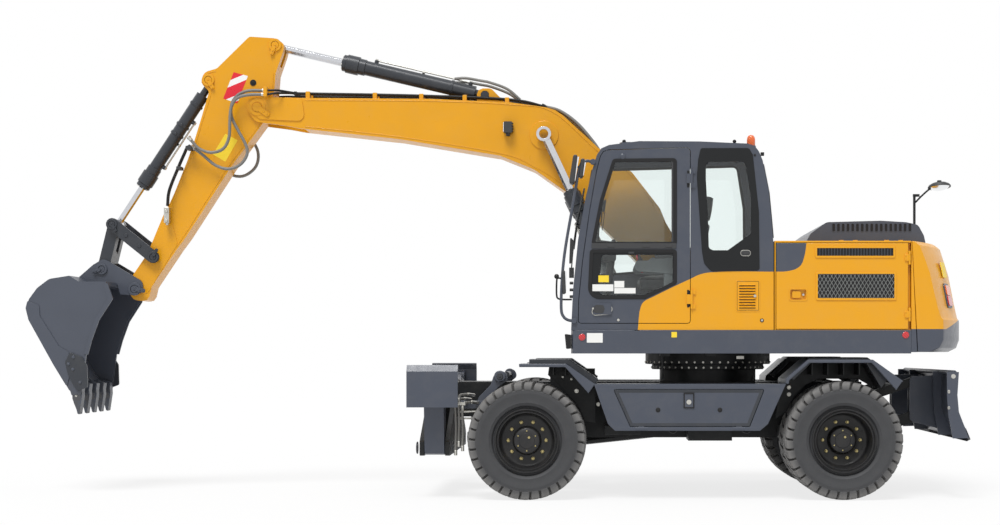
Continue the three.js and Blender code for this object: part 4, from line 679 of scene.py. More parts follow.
def tyre_mesh():
    """One lug tyre about the origin, turning about Y."""
    tyre = Piece("tyre", None, "tyre")
    wall = [
        (0.300, 0.098), (0.312, 0.116), (0.330, 0.124), (0.336, 0.1285), (0.342, 0.1285),
        (0.348, 0.1270), (0.385, 0.1345), (0.415, 0.1372), (0.421, 0.1385), (0.427, 0.1372),
        (0.448, 0.1360), (0.456, 0.1290), (0.472, 0.1260), (0.487, 0.1180), (0.496, 0.1040), (0.497, 0.0400),
    ]
    inside = [(0.262, 0.090), (0.262, -0.090)]
    outside = wall + [(r, -a) for r, a in reversed(wall)]
    tyre.lathe([inside[1], inside[0], *outside], (0, 0, 0), sides=96, hollow=True)
    top = [(0.004, 0.525), (0.075, 0.5245), (0.112, 0.521), (0.130, 0.509), (0.1385, 0.485), (0.1388, 0.452)]
    root = [(0.004, 0.490), (0.070, 0.490), (0.100, 0.488), (0.112, 0.480), (0.120, 0.465), (0.125, 0.440)]
    slant = [-0.055, 0.010, 0.050, 0.064, 0.070, 0.073]
    half_width = [0.026, 0.029, 0.033, 0.034, 0.033, 0.029]
    for lug in range(2 * LUGS):
        side = 1 if lug % 2 else -1
        middle = math.tau * lug / (2 * LUGS)
        sections = []
        for (y, r), (root_y, root_r), lean, half in zip(top, root, slant, half_width):
            section = []
            for radius, across, wide in ((root_r, root_y, 1.18), (r, y, 1.0)):
                for end in (-1, 1) if radius is root_r else (1, -1):
                    angle = middle + lean + end * half * wide / radius
                    section.append(
                        Vector((radius * math.cos(angle), side * across, radius * math.sin(angle)))
                    )
            sections.append(section)
        tyre.faces(sections)
    made = tyre.done(bevel=0.0035, segments=1, crease=28)
    mesh = made.data
    # carcass faces between the lugs get the near-black painted shade
    mesh.materials.append(M["groove_shade"])
    carcass = len(outside) * 96 + 2 * 96
    for face in mesh.polygons[:carcass]:
        x, _, z = face.center
        if math.hypot(x, z) > GROOVE_SHADE_START:
            face.material_index = 1
    bpy.data.objects.remove(made)
    return mesh


def front_of(name, side):
    """A wheel part's centre, and the Y of its inner face."""
    low, high = node_box(name)
    centre = (low + high) / 2
    return centre, (low.y if side > 0 else high.y)


TYRE = tyre_mesh()
RIM = {
    "front": {"disc": 0.470, "hub": 0.560},
    "rear": {"disc": 0.380, "hub": 0.470},
}
for end in ("front", "rear"):
    for hand, side in SIDES.items():
        wheel = f"wheel_{end}_{hand}"
        for row in ("inner", "outer"):
            node = f"tyre_{row}_{end}_{hand}"
            centre = front_of(node, side)[0]
            tyre = bpy.data.objects.new(f"lug_{node}", TYRE)
            bpy.context.scene.collection.objects.link(tyre)
            tyre.location = centre + Vector((slew_x, 0, 0))
            round_edges(tyre, 0.003, 1, 28)
            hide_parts(node)
            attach(tyre, wheel)
        centre, inner_y = front_of(f"rim_{end}_{hand}", side)
        axle = Vector((centre.x, inner_y, centre.z))
        outward = (0, side, 0)
        disc, hub = RIM[end]["disc"], RIM[end]["hub"]
        rim = Piece(f"wheel_rim_{end}_{hand}", wheel, "rim", "black_paint", axle)
        rim.lathe(
            [
                (0.115, 0.0), (0.245, 0.004), (0.268, 0.002), (0.2845, 0.006), (0.2845, 0.018),
                (0.262, 0.026), (0.262, 0.255), (0.2845, 0.262), (0.2845, 0.274), (0.255, 0.285),
                (0.255, 0.312), (0.2845, 0.322), (0.2845, 0.334), (0.262, 0.340), (0.262, 0.558),
                (0.2840, 0.566), (0.2850, 0.574), (0.2820, 0.580), (0.2740, 0.581), (0.2700, 0.574),
                (0.2640, 0.566), (0.2600, 0.566), (0.2560, 0.574), (0.2500, 0.575), (0.2460, 0.568),
                (0.2430, 0.545), (0.2380, disc + 0.030), (0.2300, disc + 0.012), (0.2180, disc + 0.004),
                (0.2050, disc), (0.1350, disc), (0.1280, disc + 0.004),
                (0.1240, disc + 0.018), (0.1190, disc + 0.030), (0.1160, hub - 0.022),
                (0.1130, hub - 0.012), (0.1060, hub - 0.006), (0.0700, hub - 0.004), (0.0660, hub),
                (0.0300, hub),
            ],
            axle, outward, 64,
        )
        for hole in range(8):
            angle = math.tau * (hole + 0.5) / 8
            spot = axle + Vector((0.197 * math.cos(angle), side * (disc - 0.002), 0.197 * math.sin(angle)))
            rim.lathe([(0.014, 0), (0.014, 0.0035), (0.0105, 0.0036), (0.0105, 0.0028)], spot, outward, 16)
        rim.done(crease=40, replaces=(f"rim_{end}_{hand}",))
        nuts = Piece(f"wheel_nuts_{end}_{hand}", wheel, "brass", "black_paint", axle)
        for stud in range(10):
            angle = math.tau * stud / 10
            spot = axle + Vector((0.168 * math.cos(angle), side * disc, 0.168 * math.sin(angle)))
            nuts.lathe(
                [(0.0165, -0.001), (0.0165, 0.004), (0.0135, 0.005), (0.0135, 0.020), (0.011, 0.023)],
                spot, outward, 6,
            )
            nuts.bar(spot + Vector(outward) * 0.020, spot + Vector(outward) * 0.034, 0.0085, 12)
        for bolt in range(6):
            angle = math.tau * (bolt + 0.5) / 6
            spot = axle + Vector((0.088 * math.cos(angle), side * (hub - 0.006), 0.088 * math.sin(angle)))
            nuts.bolt(spot, outward, 0.008, washer=False)
        nuts.bar(
            axle + Vector((0.02, side * (hub - 0.002), 0.03)),
            axle + Vector((0.02, side * (hub + 0.008), 0.03)), 0.012, 6,
        )
        nuts.done(crease=40)

# ---------------------------------------------------------------- cab


def inset(corners, distance):
    """An outline moved inwards, corner for corner."""
    points = [Vector(c[:2]) for c in corners]
    area = sum(a.x * b.y - b.x * a.y for a, b in zip(points, points[1:] + points[:1]))
    turn = 1 if area > 0 else -1
    moved = []
    for i, corner in enumerate(corners):
        back = (points[i] - points[i - 1]).normalized()
        ahead = (points[(i + 1) % len(points)] - points[i]).normalized()
        normals = [Vector((-d.y, d.x)) * turn for d in (back, ahead)]
        middle = (normals[0] + normals[1]).normalized()
        here = points[i] + middle * distance / middle.dot(normals[0])
        radius = max(corner[2] - distance, 0.004) if len(corner) > 2 else None
        moved.append((here.x, here.y, radius) if radius else (here.x, here.y))
    return moved


def band(piece, outer, inner, low, high, plane="side", steps=5):
    """A flat rim between two outlines that have the same corners."""
    rings = []
    for corners, w in ((outer, low), (outer, high), (inner, high), (inner, low)):
        rings.append([PLANES[plane](u, v, w) for u, v in rounded(corners, steps)])
    return piece.faces(rings, loop=True)


def mm(*corners):
    """Outline corners given in millimetres."""
    return [tuple(c / 1000 for c in corner) for corner in corners]


CAB_SIDE = -1.220
CAB_FAR = node_box("cab_shell")[1].y
DOOR = mm(
    (-1215, 1565, 20), (-1211, 1767), (-1176, 2119), (-1114, 2559), (-1052, 2912),
    (-1006, 3088, 70), (-232, 3110, 30), (-232, 1565, 20),
)
UPPER_PANE = mm((-905, 3005, 25), (-357, 3010, 25), (-357, 2260, 20), (-1093, 2260, 20), (-1017, 2647))
LOWER_PANE = mm((-1106, 2205, 20), (-357, 2205, 20), (-357, 1917, 20), (-630, 1785, 40), (-1125, 1785, 90))
RIGHT_PANE = mm(
    (-985, 3010, 60), (262, 3045, 60), (325, 2640), (330, 2120, 30), (-1130, 2000, 40), (-1085, 2500),
)
SIDE_GLASS = mm(
    (-137, 3108, 20), (288, 3108, 30), (322, 3050, 15), (376, 2544, 60), (382, 2028, 25),
    (-45, 2018, 60), (-108, 2090, 60), (-126, 2190, 60), (-172, 2846, 60), (-160, 3010, 40),
)
SIDE_CLEAR = mm(
    (-92, 2985, 40), (238, 2985, 24), (262, 2950, 12), (303, 2671, 60), (303, 2352, 10),
    (101, 2207, 10), (-30, 2207, 20), (-66, 2225, 30), (-74, 2512, 60), (-92, 2830, 60),
)
seals = Piece("door_window_seals", "cab_door", "rubber", "black_paint")
for outline in (UPPER_PANE, LOWER_PANE):
    band(seals, inset(outline, -0.010), inset(outline, 0.022), CAB_SIDE - 0.006, CAB_SIDE + 0.012)
seals.done(bevel=0.003)
glass = Piece("door_windows", "cab_door", "glass", "black_paint")
glass.prism(inset(UPPER_PANE, 0.012), CAB_SIDE + 0.004, CAB_SIDE + 0.009)
glass.prism(inset(LOWER_PANE, 0.012), CAB_SIDE + 0.004, CAB_SIDE + 0.009)
glass.done()
print_band = Piece("door_window_border", "cab_door", "border", "black_paint")
LOWER_CLEAR = mm(
    (-1010, 2165, 15), (-385, 2165, 15), (-385, 1925, 20), (-640, 1812, 30), (-1040, 1812, 50),
)
band(print_band, inset(LOWER_PANE, 0.016), LOWER_CLEAR, CAB_SIDE + 0.0028, CAB_SIDE + 0.0036)
print_band.done()

slider = Piece("door_sliding_window", "cab_door", "plastic", "black_paint")
slider.block((-1.100, CAB_SIDE - 0.008, 2.221), (-0.352, CAB_SIDE + 0.016, 2.268))
slider.block((-0.395, CAB_SIDE - 0.004, 2.268), (-0.378, CAB_SIDE + 0.012, 2.995))
for x in (-0.93, -0.62, -0.42):
    slider.block((x - 0.030, CAB_SIDE - 0.013, 2.232), (x + 0.030, CAB_SIDE - 0.006, 2.254))
slider.block((-0.775, CAB_SIDE - 0.012, 2.176), (-0.725, CAB_SIDE + 0.004, 2.192))
slider.done(bevel=0.003)

frontal = Piece("cab_door_gap", "cab_door", "rubber", "black_paint")
band(frontal, DOOR, inset(DOOR, 0.006), CAB_SIDE + 0.003, CAB_SIDE + 0.032)
frontal.done()

side_border = Piece("rear_side_window_border", "upper", "border", "black_paint")
band(side_border, SIDE_GLASS, SIDE_CLEAR, CAB_SIDE - 0.005, CAB_SIDE + 0.0005)
side_border.done(bevel=0.0015)
side_glass = Piece("rear_side_window", "upper", "glass", "black_paint")
side_glass.prism(inset(SIDE_CLEAR, -0.010), CAB_SIDE + 0.001, CAB_SIDE + 0.005)
side_glass.done()

locks = Piece("window_locks", "upper", "plastic", "black_paint")
oval = [(0.215, 2.158, 0.022), (0.300, 2.158, 0.022), (0.300, 2.205, 0.022), (0.215, 2.205, 0.022)]
locks.prism(oval, CAB_SIDE - 0.013, CAB_SIDE - 0.004)
locks.prism(inset(oval, 0.012), CAB_SIDE - 0.018, CAB_SIDE - 0.012)
locks.done(bevel=0.003)
oval_rim = Piece("window_lock_rim", "upper", "zinc", "rod_chrome")
band(oval_rim, inset(oval, -0.003), inset(oval, 0.001), CAB_SIDE - 0.0145, CAB_SIDE - 0.004)
oval_rim.done(bevel=0.001)

far_glass = Piece("cab_far_windows", "upper", "glass", "black_paint")
far_glass.prism(inset(RIGHT_PANE, 0.004), CAB_FAR - 0.020, CAB_FAR - 0.015)
slot_low, slot_high = CAB_SIDE + 0.094, CAB_FAR - 0.094
front_top = mm((-1237, 1995), (-1211, 2295), (-1149, 2647), (-1098, 2925))
far_glass.strip(front_top, slot_low, slot_high, 0.005)
far_glass.strip(mm((-1260, 1645), (-1250, 1905)), slot_low, slot_high, 0.005)
REAR_WALL = [(0.500, 2.330), (0.486, 2.490), (0.464, 2.720), (0.416, 2.965)]
far_glass.strip([(x - 0.012, z) for x, z in REAR_WALL], slot_low, slot_high, 0.005)
far_glass.done()
far_seals = Piece("cab_far_seals", "upper", "rubber", "black_paint")
band(far_seals, inset(RIGHT_PANE, -0.010), inset(RIGHT_PANE, 0.022), CAB_FAR - 0.024, CAB_FAR + 0.004)
rear_loop = [(x, slot_low, z) for x, z in REAR_WALL]
rear_loop += [(x, slot_high, z) for x, z in reversed(REAR_WALL)]
far_seals.tube([*rear_loop, rear_loop[0]], 0.017, 10, smooth=False)
for y in (slot_low, slot_high):
    inward = 0.022 if y == slot_low else -0.022
    low_y, high_y = sorted((y - inward * 0.4, y + inward))
    far_seals.strip([Vector((x - 0.004, z)) for x, z in front_top], low_y, high_y, 0.014)
far_seals.done(bevel=0.003)

handle = Piece("cab_door_handle", "cab_door", "plastic", "black_paint")
cup = [(-1.108, 1.650, 0.036), (-1.075, 1.630, 0.034), (-0.940, 1.640, 0.036), (-0.908, 1.690, 0.036),
       (-0.945, 1.735, 0.036), (-1.070, 1.742, 0.036)]
handle.prism(inset(cup, 0.005), CAB_SIDE - 0.004, CAB_SIDE + 0.001)
handle.prism(
    [(-1.088, 1.655, 0.025), (-1.000, 1.650, 0.02), (-0.985, 1.690, 0.02), (-0.995, 1.722, 0.02),
     (-1.080, 1.726, 0.03)],
    CAB_SIDE - 0.019, CAB_SIDE - 0.003,
)
handle.done(bevel=0.004)
cup_rim = Piece("cab_door_handle_rim", "cab_door", "zinc", "rod_chrome")
band(cup_rim, cup, inset(cup, 0.006), CAB_SIDE - 0.006, CAB_SIDE + 0.001)
cup_rim.bar((-1.088, CAB_SIDE - 0.018, 1.692), (-1.088, CAB_SIDE - 0.022, 1.692), 0.009, 16)
cup_rim.bar((-0.864, CAB_SIDE, 1.591), (-0.864, CAB_SIDE - 0.005, 1.591), 0.012, 16)
cup_rim.done(bevel=0.0015)

hinges = Piece("cab_door_hinge_covers", "upper", "rubber", "black_paint")
for low, high in ((1.694, 1.866), (2.752, 2.918)):
    hinges.prism(
        [(-0.258, low, 0.008), (-0.232, low + 0.018, 0.006), (-0.232, high - 0.018, 0.006),
         (-0.258, high, 0.008)],
        CAB_SIDE - 0.0035, CAB_SIDE + 0.002,
    )
hinges.done(bevel=0.0015)

cab_trim = Piece("cab_side_fittings", "upper", "rubber", "black_paint")
for x in (-0.810, 0.176):
    cab_trim.bar((x, -1.02, 3.150), (x, -1.02, 3.186), 0.008, 12)
    cab_trim.ball((x, -1.02, 3.190), 0.017)
cab_trim.bar((0.340, CAB_SIDE + 0.001, 3.045), (0.340, CAB_SIDE - 0.004, 3.045), 0.011, 16)
cab_trim.block((0.395, -1.19, 3.045), (0.425, -1.16, 3.075))
cab_trim.prism(
    mm((-1338, 1469, 8), (-1283, 1462), (-1283, 1340), (-1325, 1336, 10)), -1.20, -1.06
)
cab_trim.done(bevel=0.003)
bump_stop = Piece("cab_door_button", "cab_door", "grey", "grey_paint")
bump_stop.lathe([(0.026, 0), (0.024, 0.006), (0.014, 0.012)], (-0.826, CAB_SIDE, 3.034), (0, -1, 0), 24)
bump_stop.done()

louvre = Piece("cab_louvre_frame", "upper", "yellow", "yellow_paint")
panel = mm((172, 1665, 18), (386, 1665, 18), (386, 1944, 18), (172, 1944, 18))
band(louvre, panel, inset(panel, 0.010), CAB_SIDE - 0.004, CAB_SIDE + 0.001)
louvre.prism(inset(panel, 0.0135), CAB_SIDE - 0.0025, CAB_SIDE + 0.001)
SLATS = 9
for slat in range(SLATS):
    z = 1.700 + slat * 0.0245
    louvre.faces(
        [
            [Vector((x, CAB_SIDE + y, z + dz)) for y, dz in ((-0.002, 0.0), (-0.014, 0.004), (-0.002, 0.014))]
            for x in (0.200, 0.345)
        ]
    )
louvre.done(bevel=0.0012)
# the dark gap round the inner plate and the disc round the lock are real; the dark strips under the slats are
# painted shade
louvre_gaps_and_shade = Piece("cab_louvre_gaps_and_slot_shade", "upper", "rubber", "black_paint")
band(louvre_gaps_and_shade, inset(panel, 0.0095), inset(panel, 0.0140), CAB_SIDE - 0.0012, CAB_SIDE + 0.001)
for slat in range(SLATS):
    z = 1.700 + slat * 0.0245
    louvre_gaps_and_shade.block((0.201, CAB_SIDE - 0.0035, z - 0.0065), (0.344, CAB_SIDE, z - 0.0005))
louvre_gaps_and_shade.bar((0.402, CAB_SIDE, 1.588), (0.402, CAB_SIDE - 0.004, 1.588), 0.017, 20)
louvre_gaps_and_shade.done()
keys = Piece("panel_locks", "upper", "zinc", "rod_chrome")
keys.bar((0.340, CAB_SIDE - 0.001, 1.803), (0.340, CAB_SIDE - 0.014, 1.803), 0.013, 20)
keys.bar((0.402, CAB_SIDE - 0.003, 1.588), (0.402, CAB_SIDE - 0.008, 1.588), 0.010, 20)
keys.done(bevel=0.001)

beacon = Piece("beacon_dome", "upper", "amber", "yellow_paint")
beacon.lathe(
    [(0.036, 0), (0.038, 0.006), (0.038, 0.055), (0.034, 0.075), (0.024, 0.090), (0.010, 0.096)],
    (0.330, -0.95, 3.160), (0, 0, 1), 32,
)
beacon.done()
beacon_foot = Piece("beacon_foot", "upper", "rubber", "black_paint")
beacon_foot.lathe(
    [(0.044, 0), (0.044, 0.014), (0.040, 0.018), (0.036, 0.019)], (0.330, -0.95, 3.142), (0, 0, 1), 32,
)
beacon_foot.done()

# mirrors and grab rail, in front of the cab's near corner
RAIL_Y = CAB_SIDE - 0.020
rail = Piece("cab_grab_rail", "upper", "grey", "grey_paint")
rail.tube(
    [(-1.100, RAIL_Y + 0.02, 2.988), (-1.150, RAIL_Y - 0.005, 2.990), (-1.204, RAIL_Y, 2.941),
     (-1.259, RAIL_Y, 2.639), (-1.331, RAIL_Y, 2.225), (-1.360, RAIL_Y, 1.955),
     (-1.368, RAIL_Y, 1.700), (-1.350, RAIL_Y, 1.625), (-1.310, RAIL_Y, 1.592),
     (-1.262, RAIL_Y + 0.02, 1.584)],
    0.013, 14,
)
for x, z in ((-1.088, 2.985), (-1.256, 1.584)):
    rail.bar((x, RAIL_Y + 0.030, z), (x, RAIL_Y - 0.004, z), 0.026, 20)
rail.done()
small_rail = Piece("cab_mirror_bracket", "upper", "black", "black_paint")
small_rail.tube(
    [(-1.360, RAIL_Y, 1.955), (-1.400, RAIL_Y, 1.960), (-1.408, RAIL_Y, 1.920), (-1.408, RAIL_Y, 1.811),
     (-1.395, RAIL_Y, 1.780), (-1.350, RAIL_Y, 1.772), (-1.275, RAIL_Y + 0.02, 1.772)],
    0.008, 10,
)
small_rail.ball((-1.408, RAIL_Y, 1.975), 0.022)
small_rail.tube([(-1.204, RAIL_Y, 2.930), (-1.240, RAIL_Y, 2.950), (-1.250, RAIL_Y, 2.990)], 0.009, 10)
small_rail.done()


def wing_mirror(name, outline, width, y):
    """A mirror seen edge-on: a domed black shell with a glass facing the cab."""
    shell = Piece(f"{name}_shell", "upper", "plastic", "black_paint")
    shell.prism(outline, y - width / 2, y + width / 2)
    shell.done(bevel=0.014, segments=3)
    face = Piece(f"{name}_glass", "upper", "mirror", "rod_chrome")
    top, bottom = Vector(outline[1][:2]), Vector(outline[2][:2])
    out = (top - bottom).orthogonal().normalized()
    if out.x < 0:
        out = -out
    ends = [bottom.lerp(top, share) + out * 0.0015 for share in (0.08, 0.92)]
    face.strip(ends, y - width / 2 + 0.012, y + width / 2 - 0.012, 0.004)
    face.done()


wing_mirror(
    "large_mirror",
    [(-1.262, 3.040, 0.02), (-1.222, 3.045, 0.015), (-1.252, 2.792, 0.012), (-1.300, 2.790, 0.02)],
    0.170, -1.215,
)
wing_mirror(
    "small_mirror",
    [(-1.196, 3.010, 0.015), (-1.158, 3.015, 0.012), (-1.178, 2.850, 0.012), (-1.214, 2.845, 0.015)],
    0.150, -1.190,
)
wing_mirror(
    "kerb_mirror",
    [(-1.362, 2.020, 0.01), (-1.335, 2.034, 0.01), (-1.326, 1.830, 0.01), (-1.356, 1.812, 0.01)],
    0.110, RAIL_Y + 0.02,
)

wiper = Piece("front_wiper", "upper", "plastic", "black_paint")
wiper.tube(
    [(-1.285, -0.72, 2.06), (-1.262, -0.80, 2.30), (-1.225, -0.86, 2.52), (-1.190, -0.88, 2.70)], 0.006, 8,
)
wiper.tube(
    [(-1.262, -0.79, 2.24), (-1.234, -0.82, 2.44), (-1.190, -0.90, 2.66), (-1.166, -0.92, 2.78)], 0.008, 8,
)
wiper.block((-1.305, -0.78, 1.985), (-1.262, -0.66, 2.075))
wiper.prism(mm((-1290, 2330, 8), (-1262, 2300), (-1270, 2120), (-1300, 2070, 8)), -1.16, -1.10)
for z in (1.80, 1.86, 1.92):
    wiper.bar((-1.295, -1.15, z), (-1.262, -1.15, z), 0.013, 14)
wiper.done(bevel=0.003)

labels = Piece("window_labels", "cab_door", "label", "rod_chrome")
for low, high in (((-1.093, 1.846), (-0.908, 1.906)), ((-0.900, 1.878), (-0.812, 1.936)),
                  ((-0.900, 1.826), (-0.712, 1.874))):
    labels.block((low[0], CAB_SIDE + 0.0012, low[1]), (high[0], CAB_SIDE + 0.0024, high[1]))
labels.done()
label = Piece("window_label_yellow", "cab_door", "yellow_label", "yellow_paint")
label.block((-1.040, CAB_SIDE + 0.0012, 1.925), (-0.948, CAB_SIDE + 0.0024, 1.985))
label.done()

# ---------------------------------------------------------------- deck edge

DECK_SIDE = -1.230
reflectors = Piece("deck_reflectors", "upper", "red", "yellow_paint")
for side in SIDES.values():
    for x, z in ((-1.184, 1.440), (1.668, 1.459)):
        reflectors.lathe([(0.030, 0), (0.030, 0.005), (0.024, 0.009), (0.008, 0.010)],
                         (x, side * 1.230, z), (0, side, 0), 28)
reflectors.done()
plates = Piece("deck_plate", "upper", "label", "rod_chrome")
plates.prism(
    mm((-1142, 1392, 4), (-1002, 1392, 4), (-1002, 1476, 4), (-1142, 1476, 4)), DECK_SIDE - 0.003,
    DECK_SIDE + 0.001,
)
plates.done()
plates = Piece("deck_small_plate", "upper", "yellow_label", "yellow_paint")
plates.prism(
    mm((-396, 1438, 3), (-348, 1438, 3), (-348, 1486, 3), (-396, 1486, 3)), DECK_SIDE - 0.003,
    DECK_SIDE + 0.001,
)
plates.done()

# ---------------------------------------------------------------- undercarriage

GUARD_LINES = {
    "front": mm((-1739, 1206), (-1325, 1206), (-1070, 1026)),
    "rear": mm((608, 1030), (611, 1072), (805, 1243), (1377, 1243), (1641, 1056)),
}
GUARD_COVERS = {
    "front": mm((-1655, 1246), (-1300, 1246), (-1040, 1066)),
    "rear": mm((660, 1090), (835, 1262), (1350, 1262), (1560, 1112)),
}
lips = Piece("mudguard_lips", "chassis", "grey", "grey_paint")
covers = Piece("mudguard_covers", "chassis", "barrel", "grey_paint")
for line in GUARD_LINES.values():
    lips.strip(line, -1.250, -1.222, 0.030)
for line in GUARD_COVERS.values():
    covers.strip(line, -1.120, -0.610, 0.046)
lips.mirror().done(bevel=0.008, segments=3)
covers.mirror().done(bevel=0.006)

plates = Piece("chassis_side_plates", "chassis", "black", "black_paint")
plates.prism(
    mm((-1487, 1173), (-1496, 1101), (-1369, 983), (-1224, 820), (-1161, 684), (-1065, 670),
       (-1065, 1028), (-1110, 1060), (-1326, 1194)),
    -0.812, -0.795,
)
plates.prism(
    mm((612, 1024), (650, 1090), (820, 1225), (1370, 1225), (1560, 1080), (1560, 960), (1430, 1000),
       (1310, 1066), (950, 1066), (830, 1005), (730, 900), (660, 760), (560, 700)),
    -0.802, -0.785,
)
for x in (0.86, 1.00, 1.14, 1.28, 1.40):
    plates.block((x - 0.006, -1.10, 1.105), (x + 0.006, -0.79, 1.225))
for x in (-1.44, -1.33):
    plates.block((x - 0.006, -1.08, 1.10), (x + 0.006, -0.80, 1.196))
plates.block((-0.98, -0.80, 0.560), (-0.66, -0.40, 0.640))
plates.block((-0.22, -0.70, 0.500), (0.18, -0.34, 0.618))
plates.block((0.62, -0.79, 0.520), (0.84, -0.42, 0.640))
for x in (-0.36, 0.31):
    plates.tube(
        [
            (x - 0.03, -0.66, 0.618), (x - 0.03, -0.66, 0.585), (x + 0.01, -0.66, 0.570),
            (x + 0.035, -0.66, 0.590),
        ],
        0.008, 8,
    )
plates.mirror().done(bevel=0.004)

bolts = Piece("chassis_bolts", "chassis", "zinc", "rod_chrome")
for x, z, size in ((-1.237, 0.956, 0.017), (-1.040, 0.836, 0.015), (-1.362, 1.082, 0.009),
                   (-1.284, 1.062, 0.009), (0.687, 0.988, 0.016), (0.687, 0.925, 0.016),
                   (1.46, 1.055, 0.010), (1.30, 1.175, 0.009)):
    bolts.bolt((x, -0.812 if x < 0 else -0.802, z), (0, -1, 0), size)
bolts.mirror().done()

links = Piece("outrigger_side_links", "chassis", "grey", "grey_paint")
links.prism(
    mm((-2150, 815), (-2115, 905), (-2010, 1010), (-1985, 1090, 40), (-1930, 1150, 50), (-1868, 1120, 50),
       (-1850, 1060, 40), (-1930, 1000), (-2030, 900), (-2080, 790)),
    -0.900, -0.865,
)
links.lathe(
    [(0.052, 0), (0.052, 0.030), (0.046, 0.036), (0.020, 0.036)], (-1.926, -0.895, 1.090), (0, -1, 0), 28,
)
links.block((-2.30, -0.905, 0.800), (-2.06, -0.860, 0.870))
links.mirror().done(bevel=0.005)
link_pins = Piece("outrigger_link_pins", "chassis", "barrel", "black_paint")
link_pins.bar((-1.926, -0.925, 1.090), (-1.926, -0.940, 1.090), 0.030, 24)
link_pins.bolt((-1.926, -0.938, 1.090), (0, -1, 0), 0.012)
link_pins.bar((-1.926, -0.90, 1.090), (-1.926, -0.30, 1.090), 0.028, 20)
link_pins.mirror().done(bevel=0.003)

# outrigger hoses and their fittings, beside the legs
fittings = Piece("outrigger_fittings", "chassis", "zinc", "rod_chrome")
runs = Piece("outrigger_pipes", "chassis", "hose", "tyre_rubber")
for step, (x, low, high) in enumerate(((-2.315, 0.42, 0.86), (-2.285, 0.50, 0.90), (-2.250, 0.46, 0.83))):
    y = -1.02 - 0.02 * step
    runs.tube([(x, y, low), (x + 0.004, y, (low + high) / 2), (x, y, high), (x + 0.05, y + 0.05, high + 0.03),
               (x + 0.13, y + 0.16, high + 0.02)], 0.011, 10)
    fittings.bar((x, y, low - 0.035), (x, y, low + 0.015), 0.015, 6)
    fittings.bar((x, y, high - 0.045), (x, y, high), 0.015, 6)
    fittings.bar((x + 0.07, y + 0.07, high + 0.032), (x + 0.13, y + 0.16, high + 0.02), 0.014, 6)
fittings.block((-2.345, -1.07, 0.835), (-2.225, -1.00, 0.862))
for x, z in ((-2.20, 0.775), (-2.20, 0.715)):
    fittings.bar((x - 0.09, -1.00, z), (x + 0.16, -0.96, z), 0.009, 10)
runs.mirror().done()
fittings.mirror().done(bevel=0.002)

beam = Piece("outrigger_beam_trim", "chassis", "barrel", "grey_paint")
for x in (-2.352, -2.658):
    beam.lathe([(0.058, 0), (0.058, 0.010), (0.050, 0.014), (0.020, 0.014)], (x, -0.20, 1.000),
               (1 if x > -2.5 else -1, 0, 0), 24)
    beam.lathe([(0.055, 0), (0.055, 0.010), (0.047, 0.014), (0.020, 0.014)], (x, -0.95, 0.450),
               (1 if x > -2.5 else -1, 0, 0), 24)
beam.mirror().done(bevel=0.002)

# ---------------------------------------------------------------- slew ring

ring = Piece("slew_ring_skin", "chassis", "black", "black_paint")
for radius, low, high in ((0.455, 1.022, 1.150), (0.530, 1.146, 1.192)):
    ring.ring((0, 0, 0), (0, 0, 1), radius, radius - 0.03, low, high, 96)
ring.done(bevel=0.003)
flange = Piece("slew_flange_skin", "upper", "black", "black_paint")
flange.ring((0, 0, 0), (0, 0, 1), 0.590, 0.560, 1.1955, 1.294, 96)
flange.done(bevel=0.003)
ring_bolts = Piece("slew_ring_bolts", "chassis", "zinc", "rod_chrome")
flange_bolts = Piece("slew_flange_bolts", "upper", "zinc", "rod_chrome")
RING_BOLTS = 48
for i in range(RING_BOLTS):
    angle = math.tau * i / RING_BOLTS
    out = Vector((math.cos(angle), math.sin(angle), 0))
    ring_bolts.bolt(out * 0.530 + Vector((0, 0, 1.164)), out, 0.0085)
    flange_bolts.bolt(out * 0.590 + Vector((0, 0, 1.214)), out, 0.0085)
ring_bolts.done()
flange_bolts.block((0.232, -0.556, 1.245), (0.300, -0.545, 1.272))
flange_bolts.done()
swivel = Piece("deck_underside_brackets", "upper", "black", "black_paint")
for x in (-0.49, -0.08, 0.40):
    swivel.block((x, -1.02, 1.272), (x + 0.09, -0.92, 1.297))
swivel.bar((-0.462, -0.90, 1.06), (-0.462, -0.90, 1.300), 0.010, 10)
swivel.done(bevel=0.003)

# ---------------------------------------------------------------- side boxes

